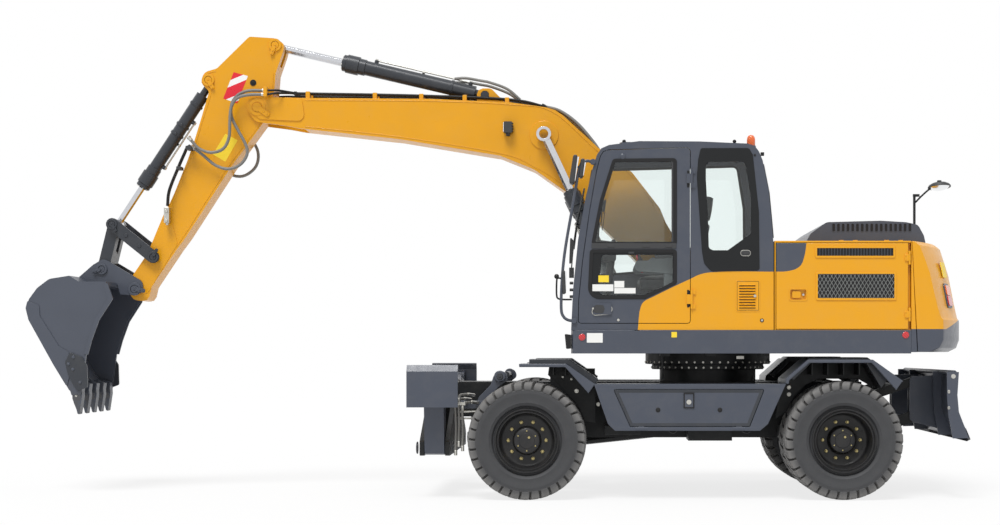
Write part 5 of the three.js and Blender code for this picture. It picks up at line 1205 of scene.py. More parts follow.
BOX_SIDE = -1.248
BOX = mm((-1079, 1028), (611, 1028), (453, 676), (382, 616), (-894, 616), (-956, 676))
BOX_DOOR = mm((-912, 984, 15), (426, 984, 15), (294, 649, 15), (-762, 649, 15))
rims = Piece("side_box_rims", "chassis", "grey", "grey_paint")
band(rims, inset(BOX, 0.001), inset(BOX, 0.036), BOX_SIDE - 0.001, BOX_SIDE + 0.020)
rims.mirror().done(bevel=0.010, segments=3)
for hand, side in SIDES.items():
    body = f"box_door_{hand}"
    # the door's sloping recess takes the darker cylinder paint as painted shade
    recess = Piece(f"box_door_recess_shade_{hand}", body, "barrel", "grey_paint")
    outer, inner = (inset(BOX_DOOR, d) for d in (0.008, 0.050))
    rings = []
    for outline, y in ((outer, 1.2490), (inner, 1.2425), (inner, 1.2400), (outer, 1.2400)):
        rings.append([Vector((u, side * y, v)) for u, v in rounded(outline, 5)])
    recess.faces(rings, loop=True)
    recess.done()
    door_plugs = Piece(f"box_door_plugs_{hand}", body, "rubber", "black_paint")
    latch = Piece(f"box_door_latch_{hand}", body, "zinc", "rod_chrome")
    for x in (-0.515, 0.030):
        door_plugs.lathe(
            [(0.021, 0), (0.021, 0.003), (0.012, 0.006)], (x, side * 1.2450, 0.799), (0, side, 0), 24,
        )
    case = [(-0.290, 0.814), (-0.196, 0.814), (-0.196, 0.950), (-0.290, 0.950)]
    hollow = inset(case, 0.010)
    rings = []
    for outline, y in ((case, 1.2490), (case, 1.2535), (hollow, 1.2535), (hollow, 1.2490)):
        rings.append([Vector((u, side * y, v)) for u, v in rounded(outline)])
    door_plugs.faces(rings, loop=True)
    latch.lathe(
        [(0.022, 0), (0.021, 0.003), (0.010, 0.0042)], (-0.243, side * 1.2490, 0.868), (0, side, 0), 28,
    )
    door_plugs.done(bevel=0.001)
    latch.done()

# ---------------------------------------------------------------- rear blade

blade_bits = Piece("blade_edge", "blade", "tooth", "grey_paint")
blade_bits.strip(mm((2196, 640), (2232, 552), (2238, 540)), -1.250, 1.250, 0.012)
blade_bits.done(bevel=0.003)
blade_ribs = Piece("blade_ribs", "blade", "grey", "grey_paint")
BLADE_RIB = mm(
    (2112, 1100), (2098, 931), (2112, 790), (2150, 680), (2120, 640), (2070, 760), (2058, 931), (2070, 1090),
)
for y in (-1.10, -0.30, 0.30, 1.10):
    blade_ribs.prism(BLADE_RIB, y - 0.008, y + 0.008)
blade_ribs.bar((2.100, -1.23, 1.128), (2.100, 1.23, 1.128), 0.020, 20)
blade_ribs.done(bevel=0.003)
blade_bolts = Piece("blade_bolts", "blade", "zinc", "rod_chrome")
for side in SIDES.values():
    for x, z in ((1.905, 0.965), (2.010, 0.955), (1.880, 0.820), (2.010, 0.815)):
        blade_bolts.bolt((max(x, 2.045), side * 1.250, z), (0, side, 0), 0.010)
    blade_bolts.lathe(
        [(0.020, 0), (0.020, 0.002), (0.014, 0.0022)], (2.085, side * 1.250, 1.095), (0, side, 0), 24,
    )
blade_bolts.done()
# ---------------------------------------------------------------- engine house and tail


def plate_corners(x0, x1, z0, z1, radius=0.0):
    """A rectangle's corners, with a radius when it has one."""
    corner = (radius,) if radius else ()
    return [(x0, z0, *corner), (x1, z0, *corner), (x1, z1, *corner), (x0, z1, *corner)]


DOOR_FACE = 1.230  # outer face of a service door, from the middle
UPPER_GRILLE = (0.885, 1.561, 2.155, 2.227)
MESH = (0.892, 1.570, 1.782, 1.999)

for hand, side in SIDES.items():
    face = side * DOOR_FACE
    out = (0, side, 0)
    body = f"service_door_{hand}"

    # black sheets behind the grille and the mesh are painted shade for the dark space behind the openings
    dark = Piece(f"door_opening_shade_{hand}", body, "rubber", "black_paint")
    for x0, x1, z0, z1 in (UPPER_GRILLE, MESH):
        dark.prism(plate_corners(x0, x1, z0, z1, 0.008), face - side * 0.002, face + side * 0.0012)
    dark.done()

    frames = Piece(f"door_grille_frames_{hand}", body, "yellow", "yellow_paint")
    for x0, x1, z0, z1 in (UPPER_GRILLE, MESH):
        outer = plate_corners(x0 - 0.016, x1 + 0.016, z0 - 0.016, z1 + 0.016, 0.016)
        band(frames, outer, inset(outer, 0.018), face - side * 0.002, face + side * 0.008)
    frames.done(bevel=0.0015, segments=1)
    frames = Piece(f"door_grille_slats_{hand}", body, "barrel", "black_paint")
    x0, x1, z0, z1 = UPPER_GRILLE
    slats = 26
    for i in range(1, slats):
        x = x0 + (x1 - x0) * i / slats
        frames.prism(plate_corners(x - 0.006, x + 0.006, z0, z1), face, face + side * 0.006)
    frames.done(bevel=0.0015, segments=1)

    wires = Piece(f"door_mesh_{hand}", body, "sleeve", "black_paint")
    x0, x1, z0, z1 = MESH
    height = z1 - z0
    pitch = 0.034
    for lean in (-1, 1):
        run = height * 0.58
        start = x0 - run
        while start < x1 + run:
            ends = []
            low, high = start, start + run
            share_low, share_high = max(0.0, (x0 - low) / run), min(1.0, (x1 - low) / run)
            if share_high > share_low + 0.02:
                for share in (share_low, share_high):
                    rise = share if lean > 0 else 1 - share
                    ends.append((low + run * share, face + side * 0.0025, z0 + height * rise))
                wires.bar(*ends, 0.0026, 6, tip=0.0002)
            start += pitch
    wires.done()

    latch = Piece(f"door_latch_{hand}", body, "yellow", "yellow_paint")
    recess = plate_corners(0.651, 0.792, 1.771, 1.860, 0.014)
    band(latch, plate_corners(0.639, 0.804, 1.759, 1.872, 0.02), recess, face, face + side * 0.004)
    latch.prism(
        plate_corners(0.668, 0.745, 1.785, 1.846, 0.012), face - side * 0.022, face - side * 0.006
    )
    latch.done(bevel=0.002)
    key = Piece(f"door_latch_key_{hand}", body, "zinc", "rod_chrome")
    key.bar((0.768, face - side * 0.024, 1.815), (0.768, face - side * 0.012, 1.815), 0.011, 20)
    key.bar((0.768, face - side * 0.013, 1.815), (0.768, face - side * 0.009, 1.815), 0.004, 4)
    key.done()

    fixings = Piece(f"door_hinge_bolts_{hand}", body, "yellow", "yellow_paint")
    for z in (1.640, 2.140):
        for shift in (-0.018, 0.018):
            fixings.bolt((1.668, face + side * 0.010, z + shift), out, 0.006)
    fixings.done()

    # black inserts filling the hood slots are painted shade for the openings; the grey lips round them are
    # real
    slots = Piece(f"hood_slot_shade_{hand}", "engine_hood", "rubber", "black_paint")
    lips = Piece(f"hood_slot_lips_{hand}", "engine_hood", "grey", "grey_paint")
    hood_face = side * 0.850
    for i in range(17):
        x = 1.085 + 0.043 * i
        slot = plate_corners(x - 0.0125, x + 0.0125, 2.398, 2.468, 0.010)
        slots.prism(slot, hood_face - side * 0.002, hood_face + side * 0.001)
        band(
            lips, inset(slot, -0.0035), inset(slot, 0.0005), hood_face - side * 0.002,
            hood_face + side * 0.0035, steps=3,
        )
    slots.done()
    lips.done()

    lamp_middle = Vector((2.100, side * 0.900, 1.813))
    outward = Vector((2.100, side * 0.900, 0.45)).normalized()
    across = Vector((-side * 0.900, 2.100, 0)).normalized() * side
    up = outward.cross(across) * side
    if up.z < 0:
        up = -up
    if across.cross(up).dot(outward) < 0:
        across = -across
    rim = Piece(f"tail_lamp_rim_{hand}", "upper", "grey", "grey_paint")
    rim.panel(plate_corners(-0.095, 0.095, -0.112, 0.112, 0.03), lamp_middle, across, up, -0.040, 0.012)
    rim.done(bevel=0.004)
    lens = Piece(f"tail_lamp_lens_{hand}", "upper", "red", "black_paint")
    lens.panel(plate_corners(-0.078, 0.078, -0.094, -0.002, 0.016), lamp_middle, across, up, 0.008, 0.022)
    lens.done(bevel=0.004)
    turn_lens = Piece(f"tail_lamp_turn_{hand}", "upper", "amber", "black_paint")
    turn_lens.panel(plate_corners(-0.078, 0.078, 0.002, 0.094, 0.016), lamp_middle, across, up, 0.008, 0.022)
    turn_lens.done(bevel=0.004)
    label = Piece(f"tail_label_{hand}", "upper", "yellow_label", "yellow_paint")
    label.panel(
        plate_corners(-0.075, 0.075, -0.070, 0.070, 0.006),
        Vector((2.062, side * 0.885, 2.045)), across, up, 0.004, 0.012,
    )
    label.done()

lifting = Piece("tail_lifting_eyes", "upper", "black", "black_paint")
for side in SIDES.values():
    lifting.bar((1.92, side * 0.62, 2.278), (1.92, side * 0.62, 2.294), 0.052, 32)
    lifting.bar((1.92, side * 0.62, 2.290), (1.92, side * 0.62, 2.302), 0.030, 6)
lifting.done(bevel=0.002)

hood_trim = Piece("hood_trim", "engine_hood", "rubber", "black_paint")
hood_low, hood_high = node_box("engine_hood")
for side in SIDES.values():
    hood_trim.prism(
        plate_corners(hood_low.x + 0.05, hood_high.x - 0.05, 2.297, 2.305), side * 0.846, side * 0.8545
    )
hood_trim.done()
handle = Piece("hood_handle", "engine_hood", "plastic", "black_paint")
handle.tube(
    [
        (1.30, 0.852, 2.34), (1.30, 0.890, 2.35), (1.36, 0.900, 2.352), (1.42, 0.890, 2.35),
        (1.42, 0.852, 2.34),
    ],
    0.009, 12,
)
handle.done()

air_intake = Piece("intake_duct", "upper", "black", "black_paint")
air_intake.prism(
    [(0.86, 2.280), (1.02, 2.280), (1.02, 2.335, 0.02), (0.90, 2.345, 0.03)], 0.30, 0.62
)
air_intake.done(bevel=0.006)

closing = Piece("deck_tail_strips", "upper", "tail", "yellow_paint")
for side in SIDES.values():
    closing.prism(
        mm((1719, 2284), (1724, 2284), (1770, 1325), (1770, 1308), (1719, 1308)), side * 1.170, side * 1.2275
    )
closing.done(bevel=0.002)

# rear mirror on its post
post = Piece("rear_mirror_post", "upper", "black", "black_paint")
post.block((2.040, 0.438, 2.272), (2.062, 0.462, 2.842))
post.block((2.038, 0.436, 2.825), (2.100, 0.464, 2.850))
post.tube([(2.062, 0.45, 2.770), (2.120, 0.45, 2.830), (2.200, 0.45, 2.900), (2.285, 0.45, 2.950)], 0.009, 12)
post.bar((2.050, 0.45, 2.268), (2.050, 0.45, 2.280), 0.045, 24)
for angle in range(4):
    turn = math.tau * (angle + 0.5) / 4
    post.bolt((2.050 + 0.032 * math.cos(turn), 0.45 + 0.032 * math.sin(turn), 2.280), (0, 0, 1), 0.005)
post.bar((2.295, 0.45, 2.940), (2.295, 0.45, 2.985), 0.022, 16)
post.done()
back = Piece("rear_mirror_shell", "upper", "plastic", "black_paint")
mirror_middle, mirror_out = Vector((2.295, 0.45, 2.925)), Vector((0.06, -0.16, -1.0)).normalized()
back.lathe(
    [
        (0.020, -0.040), (0.070, -0.032), (0.100, -0.016), (0.112, 0.0), (0.112, 0.010), (0.104, 0.012),
        (0.102, 0.004),
    ],
    mirror_middle, mirror_out, 40,
)
back.done(crease=50)
dome = Piece("rear_mirror_glass", "upper", "mirror", "rod_chrome")
dome.lathe(
    [(0.103, 0.004), (0.080, 0.022), (0.050, 0.034), (0.020, 0.040), (0.004, 0.041)],
    mirror_middle, mirror_out, 40,
)
dome.done(crease=60)
# ---------------------------------------------------------------- boom, arm, cylinders and hoses

PINS = {
    "boom_tip": joint_place("arm_swing"),
    "bucket": joint_place("bucket_curl"),
    "rocker": joint_place("rocker_swing"),
}
BOOM_CYLINDER_BASE, BOOM_CYLINDER_PIN = joint_place("boom_cylinders"), (-1.550, 3.350)
ARM_CYLINDER_BASE, ARM_CYLINDER_PIN = joint_place("arm_cylinder"), (-4.090, 4.206)
BUCKET_CYLINDER_BASE, ROCKER_TIP = joint_place("bucket_cylinder"), joint_place("bucket_link")
LINK_PIN = (-5.717, 2.089)
ARM_FACE = 0.135


def keeper(name, body, spot, face, radius=0.062, lean=0.0, finish="yellow", slot="yellow_paint"):
    """A pin's boss ring, its end cap with a grease nipple, and a flag plate with two bolts, on both sides."""
    x, z = spot
    boss = Piece(f"{name}_boss", body, finish, slot)
    cap = Piece(f"{name}_pin_cap", body, finish, slot)
    bolts = Piece(f"{name}_bolts", body, finish, slot)
    for side in SIDES.values():
        inner, outer = side * face, side * (face + 0.014)
        boss.ring((x, 0, z), (0, 1, 0), radius, radius * 0.62, inner - side * 0.002, outer, 40)
        cap.bar((x, inner, z), (x, side * (face + 0.010), z), radius * 0.58, 32)
        cap.bar((x, inner, z), (x, side * (face + 0.016), z), radius * 0.16, 12)
        ahead = Vector((math.cos(lean), 0, math.sin(lean)))
        middle = Vector((x, 0, z)) + ahead * radius * 0.95
        cap.panel(
            plate_corners(-radius * 0.75, radius * 0.75, -radius * 0.30, radius * 0.30, radius * 0.20),
            middle + Vector((0, side * (face + 0.014), 0)),
            ahead, (-ahead.z, 0, ahead.x), -0.002 * side, -0.010 * side,
        )
        for share in (0.15, 0.95):
            bolts.bolt(
                Vector((x, 0, z)) + ahead * radius * (0.85 + share * 0.65) + Vector(
                    (0, side * (face + 0.0235), 0)
                ),
                (0, side, 0), 0.0085,
            )
    boss.done(bevel=0.002)
    cap.done(bevel=0.0015)
    bolts.done()


def along(start, end, share, lift=0.0, y=0.0):
    """A point a share of the way from start to end, lifted square to that line."""
    start, end = Vector(start), Vector(end)
    ahead = (end - start).normalized()
    here = start.lerp(end, share) + Vector((-ahead.y, ahead.x)) * lift
    return Vector((here.x, y, here.y))


def gland(name, body, base, tip, share, radius, y=0.0, port_way=1, port_shares=(0.12, 0.80)):
    """A cylinder's gland nut with its ring of bolts, two ports and the steel pipe between them."""
    ahead = (along(base, tip, 1) - along(base, tip, 0)).normalized()
    end = along(base, tip, share, 0, y)
    head = Piece(f"{name}_gland", body, "barrel", "grey_paint")
    head.lathe(
        [
            (radius + 0.0005, -0.185), (radius + 0.007, -0.180), (radius + 0.007, -0.120),
            (radius + 0.018, -0.116), (radius + 0.018, 0.0), (radius + 0.008, 0.004),
            (radius + 0.008, 0.034), (radius + 0.003, 0.038), (radius * 0.66, 0.038),
            (radius * 0.66, 0.0), (radius * 0.66, -0.185),
        ],
        end, ahead, 40, hollow=True,
    )
    head.lathe(
        [
            (radius + 0.0005, -0.012), (radius + 0.007, -0.010), (radius + 0.007, 0.012),
            (radius + 0.0005, 0.014),
        ],
        along(base, tip, 0.16, 0, y), ahead, 40,
    )
    head.done(crease=40)
    bolts = Piece(f"{name}_gland_bolts", body, "zinc", "rod_chrome")
    wiper = Piece(f"{name}_wiper", body, "rubber", "black_paint")
    up = ahead.cross(Vector((0, 1, 0)))
    for i in range(8):
        turn = math.tau * (i + 0.5) / 8
        out = up * math.cos(turn) + Vector((0, 1, 0)) * math.sin(turn)
        bolts.bar(
            end + out * radius * 0.86 + ahead * 0.037, end + out * radius * 0.86 + ahead * 0.046, 0.0065,
            10,
        )
    wiper.lathe(
        [
            (radius * 0.66, 0.036), (radius * 0.66, 0.046), (radius * 0.62, 0.048),
            (radius * 0.61, 0.044), (radius * 0.61, 0.036),
        ],
        end, ahead, 32, hollow=True,
    )
    bolts.done()
    wiper.done()
    ports = Piece(f"{name}_ports", body, "barrel", "grey_paint")
    pipe = Piece(f"{name}_pipe", body, "zinc", "rod_chrome")
    length = (Vector(tip) - Vector(base)).length
    near, far = (share * s for s in port_shares)
    route = []
    for at, way in ((near, 1), (far, -1)):
        foot = along(base, tip, at, port_way * (radius - 0.010), y)
        top = along(base, tip, at, port_way * (radius + 0.026), y)
        ports.bar(foot, top, 0.021, 6)
        turn = along(base, tip, at + way * 0.035 / length, port_way * (radius + 0.022), y)
        route += [top, turn] if way > 0 else [turn, top]
    pipe.tube([route[0], *[route[1].lerp(route[2], k / 6) for k in range(7)], route[3]], 0.0085, 12)
    for at in (near, far):
        spot = along(base, tip, at, port_way * (radius + 0.024), y)
        pipe.bar(spot - ahead * 0.014, spot + ahead * 0.014, 0.0135, 6)
    clip = along(base, tip, (near + far) / 2, port_way * (radius + 0.016), y)
    pipe.bar(clip - ahead * 0.012, clip + ahead * 0.012, 0.016, 16)
    ports.done(bevel=0.002)
    pipe.done()


boom_ram_y = (node_box("boom_rod_left")[0].y + node_box("boom_rod_left")[1].y) / 2
for hand, side in SIDES.items():
    gland(
        f"boom_cylinder_{hand}", "boom_barrels", BOOM_CYLINDER_BASE, BOOM_CYLINDER_PIN, 0.69, 0.065,
        side * abs(boom_ram_y), port_way=1,
    )
gland("arm_cylinder", "arm_barrel", ARM_CYLINDER_BASE, ARM_CYLINDER_PIN, 0.665, 0.070, port_way=-1)
gland(
    "bucket_cylinder", "bucket_barrel", BUCKET_CYLINDER_BASE, ROCKER_TIP, 0.71, 0.059,
    port_way=1, port_shares=(0.36, 0.80),
)
collars = Piece("bucket_cylinder_collars", "bucket_barrel", "barrel", "grey_paint")
bucket_way = along(BUCKET_CYLINDER_BASE, ROCKER_TIP, 1) - along(BUCKET_CYLINDER_BASE, ROCKER_TIP, 0)
for share in (0.305, 0.365):
    middle = along(BUCKET_CYLINDER_BASE, ROCKER_TIP, share)
    collars.lathe(
        [(0.0592, -0.014), (0.066, -0.012), (0.066, 0.012), (0.0592, 0.014)], middle, bucket_way, 32,
        hollow=True
    )
    collars.bar(middle + Vector((0, -0.078, 0)), middle + Vector((0, -0.050, 0)), 0.016, 6)
    collars.bar(middle + Vector((0, 0.050, 0)), middle + Vector((0, 0.078, 0)), 0.016, 6)
collars.done(bevel=0.002)

boom_face = 0.135 + 0.030 + 0.006
keeper("arm_cylinder_rod", "arm", ARM_CYLINDER_PIN, ARM_FACE, 0.060, math.radians(250))
keeper("bucket_cylinder_base", "arm", BUCKET_CYLINDER_BASE, ARM_FACE, 0.058, math.radians(300))
keeper("arm_hinge", "boom", PINS["boom_tip"], boom_face, 0.080, math.radians(-35))
keeper("rocker_pivot", "rocker", PINS["rocker"], 0.190, 0.052, math.radians(60), "barrel", "grey_paint")
keeper("bucket_pivot", "bucket", PINS["bucket"], 0.168, 0.062, math.radians(-10), "bucket", "grey_paint")
keeper("link_pivot", "bucket", LINK_PIN, 0.168, 0.052, math.radians(200), "bucket", "grey_paint")
keeper("rocker_tip", "rocker", ROCKER_TIP, 0.192, 0.050, math.radians(-60), "barrel", "grey_paint")

doubler = Piece("boom_doublers", "boom", "yellow", "yellow_paint")
for side in SIDES.values():
    x, z = BOOM_CYLINDER_PIN
    doubler.bar((x, side * (boom_face - 0.002), z), (x, side * (boom_face + 0.010), z), 0.135, 56)
    doubler.prism(
        mm((-4340, 3600, 90), (-4230, 3720, 60), (-3830, 3690, 30), (-3800, 3480, 60), (-4230, 3500, 60)),
        side * (boom_face - 0.002), side * (boom_face + 0.010),
    )
doubler.done(bevel=0.003)


def bead(name, body, line, face, radius=0.0045):
    """A weld bead that follows an outline on both sides."""
    weld = Piece(name, body, "yellow", "yellow_paint")
    for side in SIDES.values():
        weld.tube([(x, side * face, z) for x, z in line], radius, 8, step=0.05)
    weld.done(crease=80)


bead(
    "boom_lower_weld", "boom",
    mm((-3800, 3432), (-2904, 3334), (-1964, 3180), (-1660, 3062), (-1310, 2812), (-220, 1730)), boom_face,
)
bead(
    "boom_upper_weld", "boom",
    mm(
        (-3800, 3680), (-2622, 3671), (-1870, 3638), (-1470, 3570), (-1040, 3196), (-740, 2985),
        (-485, 2650), (-60, 1930),
    ),
    boom_face,
)
bead(
    "arm_front_weld", "arm",
    mm(
        (-4650, 3958), (-4735, 3935), (-4770, 3858), (-4694, 3775), (-4766, 3524), (-4898, 3120),
        (-5115, 2632), (-5225, 2360),
    ),
    ARM_FACE,
)
bead(
    "arm_rear_weld", "arm",
    mm((-4105, 3945), (-4118, 3780), (-4196, 3516), (-4525, 3066), (-4948, 2408), (-5040, 2284)), ARM_FACE,
)

striped = Piece("arm_stripes", "arm", "stripes", "yellow_paint")
for side in SIDES.values():
    striped.prism(
        mm((-4481, 3950), (-4347, 3913), (-4446, 3655), (-4580, 3701)),
        side * (ARM_FACE - 0.001), side * (ARM_FACE + 0.0012),
    )
striped.done()
label = Piece("arm_label", "arm", "yellow_label", "yellow_paint")
label.prism(
    mm((-4559, 3369, 6), (-4443, 3307, 6), (-4559, 3104, 6), (-4678, 3173, 6)),
    -ARM_FACE + 0.001, -ARM_FACE - 0.0012,
)
label.done()
port = Piece("arm_plug", "arm", "black", "black_paint")
port.bar((-4.297, -ARM_FACE + 0.002, 3.849), (-4.297, -ARM_FACE - 0.006, 3.849), 0.030, 32)
port.bar((-4.297, -ARM_FACE - 0.005, 3.849), (-4.297, -ARM_FACE - 0.012, 3.849), 0.013, 6)
port.done(bevel=0.001)

# the rib bracket low on the arm, and the thicker plate round its lower pins
rib = Piece("arm_lower_plates", "arm", "yellow", "yellow_paint")
for side in SIDES.values():
    rib.prism(
        mm(
            (-5265, 2255, 50), (-5150, 2560, 30), (-5060, 2520, 30), (-5010, 2330, 60),
            (-5215, 1985, 60), (-5290, 1865, 60), (-5440, 1830, 60), (-5480, 1930, 50),
        ),
        side * (ARM_FACE - 0.002), side * (ARM_FACE + 0.0045),
    )
rib.done(bevel=0.002)

# work light on the boom
lamp = Piece("boom_lamp", "boom", "plastic", "black_paint")
lamp.block((-1.925, -boom_face - 0.085, 3.365), (-1.850, -boom_face - 0.010, 3.470))
lamp.block((-1.905, -boom_face - 0.060, 3.340), (-1.870, -boom_face + 0.002, 3.366))
lamp.bar((-1.8875, -boom_face - 0.045, 3.352), (-1.8875, -boom_face - 0.045, 3.345), 0.012, 6)
for i in range(4):
    lamp.block(
        (-1.852, -boom_face - 0.080, 3.378 + 0.024 * i), (-1.838, -boom_face - 0.015, 3.388 + 0.024 * i),
    )
lamp.done(bevel=0.004)
lens = Piece("boom_lamp_lens", "boom", "clear", "black_paint")
lens.block((-1.932, -boom_face - 0.078, 3.374), (-1.922, -boom_face - 0.017, 3.461))
lens.done(bevel=0.003)

# pipes along the top of the boom, their clamps, and the rubber lines that ride the boom alone
PIPE_RADIUS, HOSE_RADIUS = 0.0105, 0.0145
TOP_PIPE = mm((-3900, 3752), (-2915, 3735), (-2158, 3711), (-1780, 3683), (-1543, 3626))
pipes = Piece("boom_pipes", "boom", "black", "black_paint")
hoses = Piece("boom_hoses", "boom", "hose", "black_paint")
for y in (-0.130, -0.098, -0.066, 0.066, 0.098, 0.130):
    line = [(x, y, z) for x, z in TOP_PIPE]
    pipes.tube(line, PIPE_RADIUS, 12, step=0.04)
    pipes.bar((-3.915, y, 3.752), (-3.885, y, 3.752), 0.017, 6)
    end = line[-1]
    hoses.tube(
        [
            end, (-1.400, y, 3.585), (-1.235, y * 1.1, 3.465), (-1.085, y * 1.2, 3.290),
            (-0.985, y * 1.2, 3.150), (-0.800, y * 1.2, 2.960),
        ],
        HOSE_RADIUS, 12, step=0.03,
    )
    pipes.bar((end[0] - 0.03, y, end[2] + 0.014), (end[0] + 0.02, y, end[2] - 0.012), 0.0185, 6)
pipes.done()
hoses.done()
clamps = Piece("boom_pipe_clamps", "boom", "yellow", "yellow_paint")
clamp_bolts = Piece("boom_clamp_bolts", "boom", "zinc", "rod_chrome")
for x, z in mm((-3780, 3750), (-3147, 3738), (-2709, 3728), (-2300, 3716), (-1900, 3694)):
    for side in SIDES.values():
        clamps.block(
            (x - 0.020, side * 0.098 - 0.052, z - 0.055), (x + 0.020, side * 0.098 + 0.052, z + 0.017),
        )
        for y in (-0.016, 0.016):
            clamp_bolts.bolt((x, side * 0.098 + y, z + 0.017), (0, 0, 1), 0.006)
clamps.done(bevel=0.004)
clamp_bolts.done()

lines = Piece("arm_cylinder_lines", "boom", "hose", "black_paint")
for y, drop in ((-0.062, 0.0), (0.062, 0.02)):
    lines.tube(
        [
            (-1.780, y, 3.700), (-1.900, y, 3.800 - drop), (-2.063, y, 3.862 - drop),
            (-2.158, y, 3.881 - drop), (-2.300, y, 3.905 - drop), (-2.400, y * 0.8, 3.900 - drop),
        ],
        0.0135, 12, step=0.03,
    )
lines.done()


def loop(name, body, line, y, radius=HOSE_RADIUS, other=None, spread_y=0.0):
    """A free hose with a crimped fitting at each end. When it crosses a joint, each fitting moves with its
    own body and the hose is left unattached.
    """
    points = [(x, y + spread_y * math.sin(math.pi * i / (len(line) - 1)), z) for i, (x, z) in enumerate(line)]
    path = curve_through(points, 0.03)
    piece = Piece(name, None, "hose", "black_paint")
    piece.tube(path, radius, 12, smooth=False)
    made = piece.done(crease=80)
    shift = Vector((slew_x, 0, 0))
    row = [p + shift for p in path]
    if other:
        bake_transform(made)
    else:
        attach(made, body)
    thinned = row[:: max(1, len(row) // 36)]
    if (thinned[-1] - row[-1]).length > 1e-6:
        thinned.append(row[-1])
    for index, (owner, here, towards) in enumerate(
        ((body, path[0], path[1]), (other or body, path[-1], path[-2]))
    ):
        fitting = Piece(f"{name}_fitting_{index + 1}", owner, "zinc", "rod_chrome")
        away = (here - towards).normalized()
        fitting.bar(here + away * 0.001, here + away * 0.030, radius * 1.25, 20)
        fitting.bar(here + away * 0.026, here + away * 0.046, radius * 1.45, 6)
        fitting.done()


LOOPS = {
    "boom_to_arm_hose_1": (
        -0.215,
        mm(
            (-4200, 3765), (-4330, 3762), (-4425, 3722), (-4482, 3640), (-4485, 3520), (-4425, 3394),
            (-4350, 3253), (-4340, 3160), (-4406, 3066), (-4519, 3028), (-4641, 3066), (-4754, 3160),
            (-4829, 3216),
        ),
    ),
    "boom_to_arm_hose_2": (
        -0.255,
        mm(
            (-4200, 3722), (-4320, 3718), (-4420, 3690), (-4477, 3610), (-4492, 3480), (-4500, 3320),
            (-4556, 3212), (-4669, 3178), (-4782, 3216), (-4852, 3290),
        ),
    ),
    "boom_to_arm_hose_3": (
        0.215,
        mm(
            (-4200, 3765), (-4330, 3762), (-4425, 3722), (-4478, 3640), (-4470, 3520), (-4400, 3394),
            (-4320, 3240), (-4337, 3100), (-4443, 3010), (-4560, 3010), (-4700, 3090), (-4829, 3216),
        ),
    ),
}
for name, (y, line) in LOOPS.items():
    loop(name, "boom", line, y, other="arm")

manifold = Piece("arm_pipe_bracket", "arm", "plastic", "black_paint")
tubes = Piece("arm_pipes", "arm", "black", "black_paint")
for side in SIDES.values():
    manifold.block(
        (-4.905, min(side * 0.130, side * 0.270), 3.205), (-4.850, max(side * 0.130, side * 0.270), 3.240),
    )
    for y in (0.190, 0.225):
        tubes.tube(
            [
                (-4.872, side * y, 3.250), (-4.905, side * y, 3.225), (-4.930, side * y, 3.170),
                (-4.975, side * y, 3.068), (-5.069, side * y, 2.832), (-5.088, side * y, 2.680),
            ],
            PIPE_RADIUS, 12,
        )
    manifold.block(
        (-5.000, min(side * 0.130, side * 0.240), 3.020), (-4.955, max(side * 0.130, side * 0.240), 3.050),
    )
manifold.done(bevel=0.003)
tubes.done()
valve = Piece("arm_valve", "arm", "zinc", "rod_chrome")
for side in SIDES.values():
    low, high = sorted((side * 0.165, side * 0.235))
    valve.block((-5.116, low, 2.520), (-5.068, high, 2.665))
    valve.bar((-5.092, side * 0.200, 2.500), (-5.092, side * 0.200, 2.522), 0.017, 6)
    for z in (2.540, 2.630):
        valve.bar((-5.092, side * 0.233, z), (-5.092, side * 0.254, z), 0.016, 6)
valve.done(bevel=0.004)

boom_valve = Piece("boom_tip_bracket", "boom", "yellow", "yellow_paint")
for side in SIDES.values():
    low, high = sorted((side * 0.165, side * 0.285))
    boom_valve.block((-4.175, low, 3.700), (-4.140, high, 3.790))
boom_valve.done(bevel=0.003)
tip_pipes = Piece("boom_tip_pipes", "boom", "black", "black_paint")
for side in SIDES.values():
    tip_pipes.tube(
        [
            (-4.150, side * 0.215, 3.765), (-4.060, side * 0.205, 3.768), (-3.960, side * 0.150, 3.760),
            (-3.900, side * 0.130, 3.752),
        ],
        PIPE_RADIUS, 12,
    )
    tip_pipes.tube(
        [
            (-4.150, side * 0.255, 3.722), (-4.060, side * 0.245, 3.735), (-3.960, side * 0.130, 3.752),
            (-3.900, side * 0.098, 3.752),
        ],
        PIPE_RADIUS, 12,
    )
tip_pipes.done()

# ---------------------------------------------------------------- bucket

teeth = Piece("bucket_teeth", "bucket", "tooth", "grey_paint")
adapters = Piece("bucket_tooth_adapters", "bucket", "bucket", "grey_paint")
teeth_pins = Piece("bucket_tooth_pins", "bucket", "zinc", "rod_chrome")
bucket_low = node_box("bucket")[0]
BUCKET_HALF = 0.525
for i in range(-2, 3):
    y = i * (BUCKET_HALF - 0.055) * 0.5
    sections = []
    for x, z, deep, half in (
        (-5.856, 0.930, 0.036, 0.048), (-5.853, 0.880, 0.038, 0.047), (-5.846, 0.830, 0.030, 0.042),
        (-5.838, 0.780, 0.019, 0.036), (-5.833, bucket_low.z - 0.002, 0.008, 0.030),
    ):
        sections.append(
            [Vector((x + sx * deep, y + sy * half, z)) for sx, sy in ((-1, -1), (1, -1), (1, 1), (-1, 1))]
        )
    teeth.faces(sections)
    adapters.prism(
        mm((-5795, 1010, 10), (-5808, 915, 8), (-5896, 908, 8), (-5925, 1000, 14), (-5880, 1040, 20)),
        y - 0.054, y + 0.054,
    )
    for side in SIDES.values():
        teeth_pins.bar((-5.854, y + side * 0.046, 0.905), (-5.854, y + side * 0.055, 0.905), 0.011, 16)
teeth.done(bevel=0.004)
adapters.done(bevel=0.004)
teeth_pins.done()

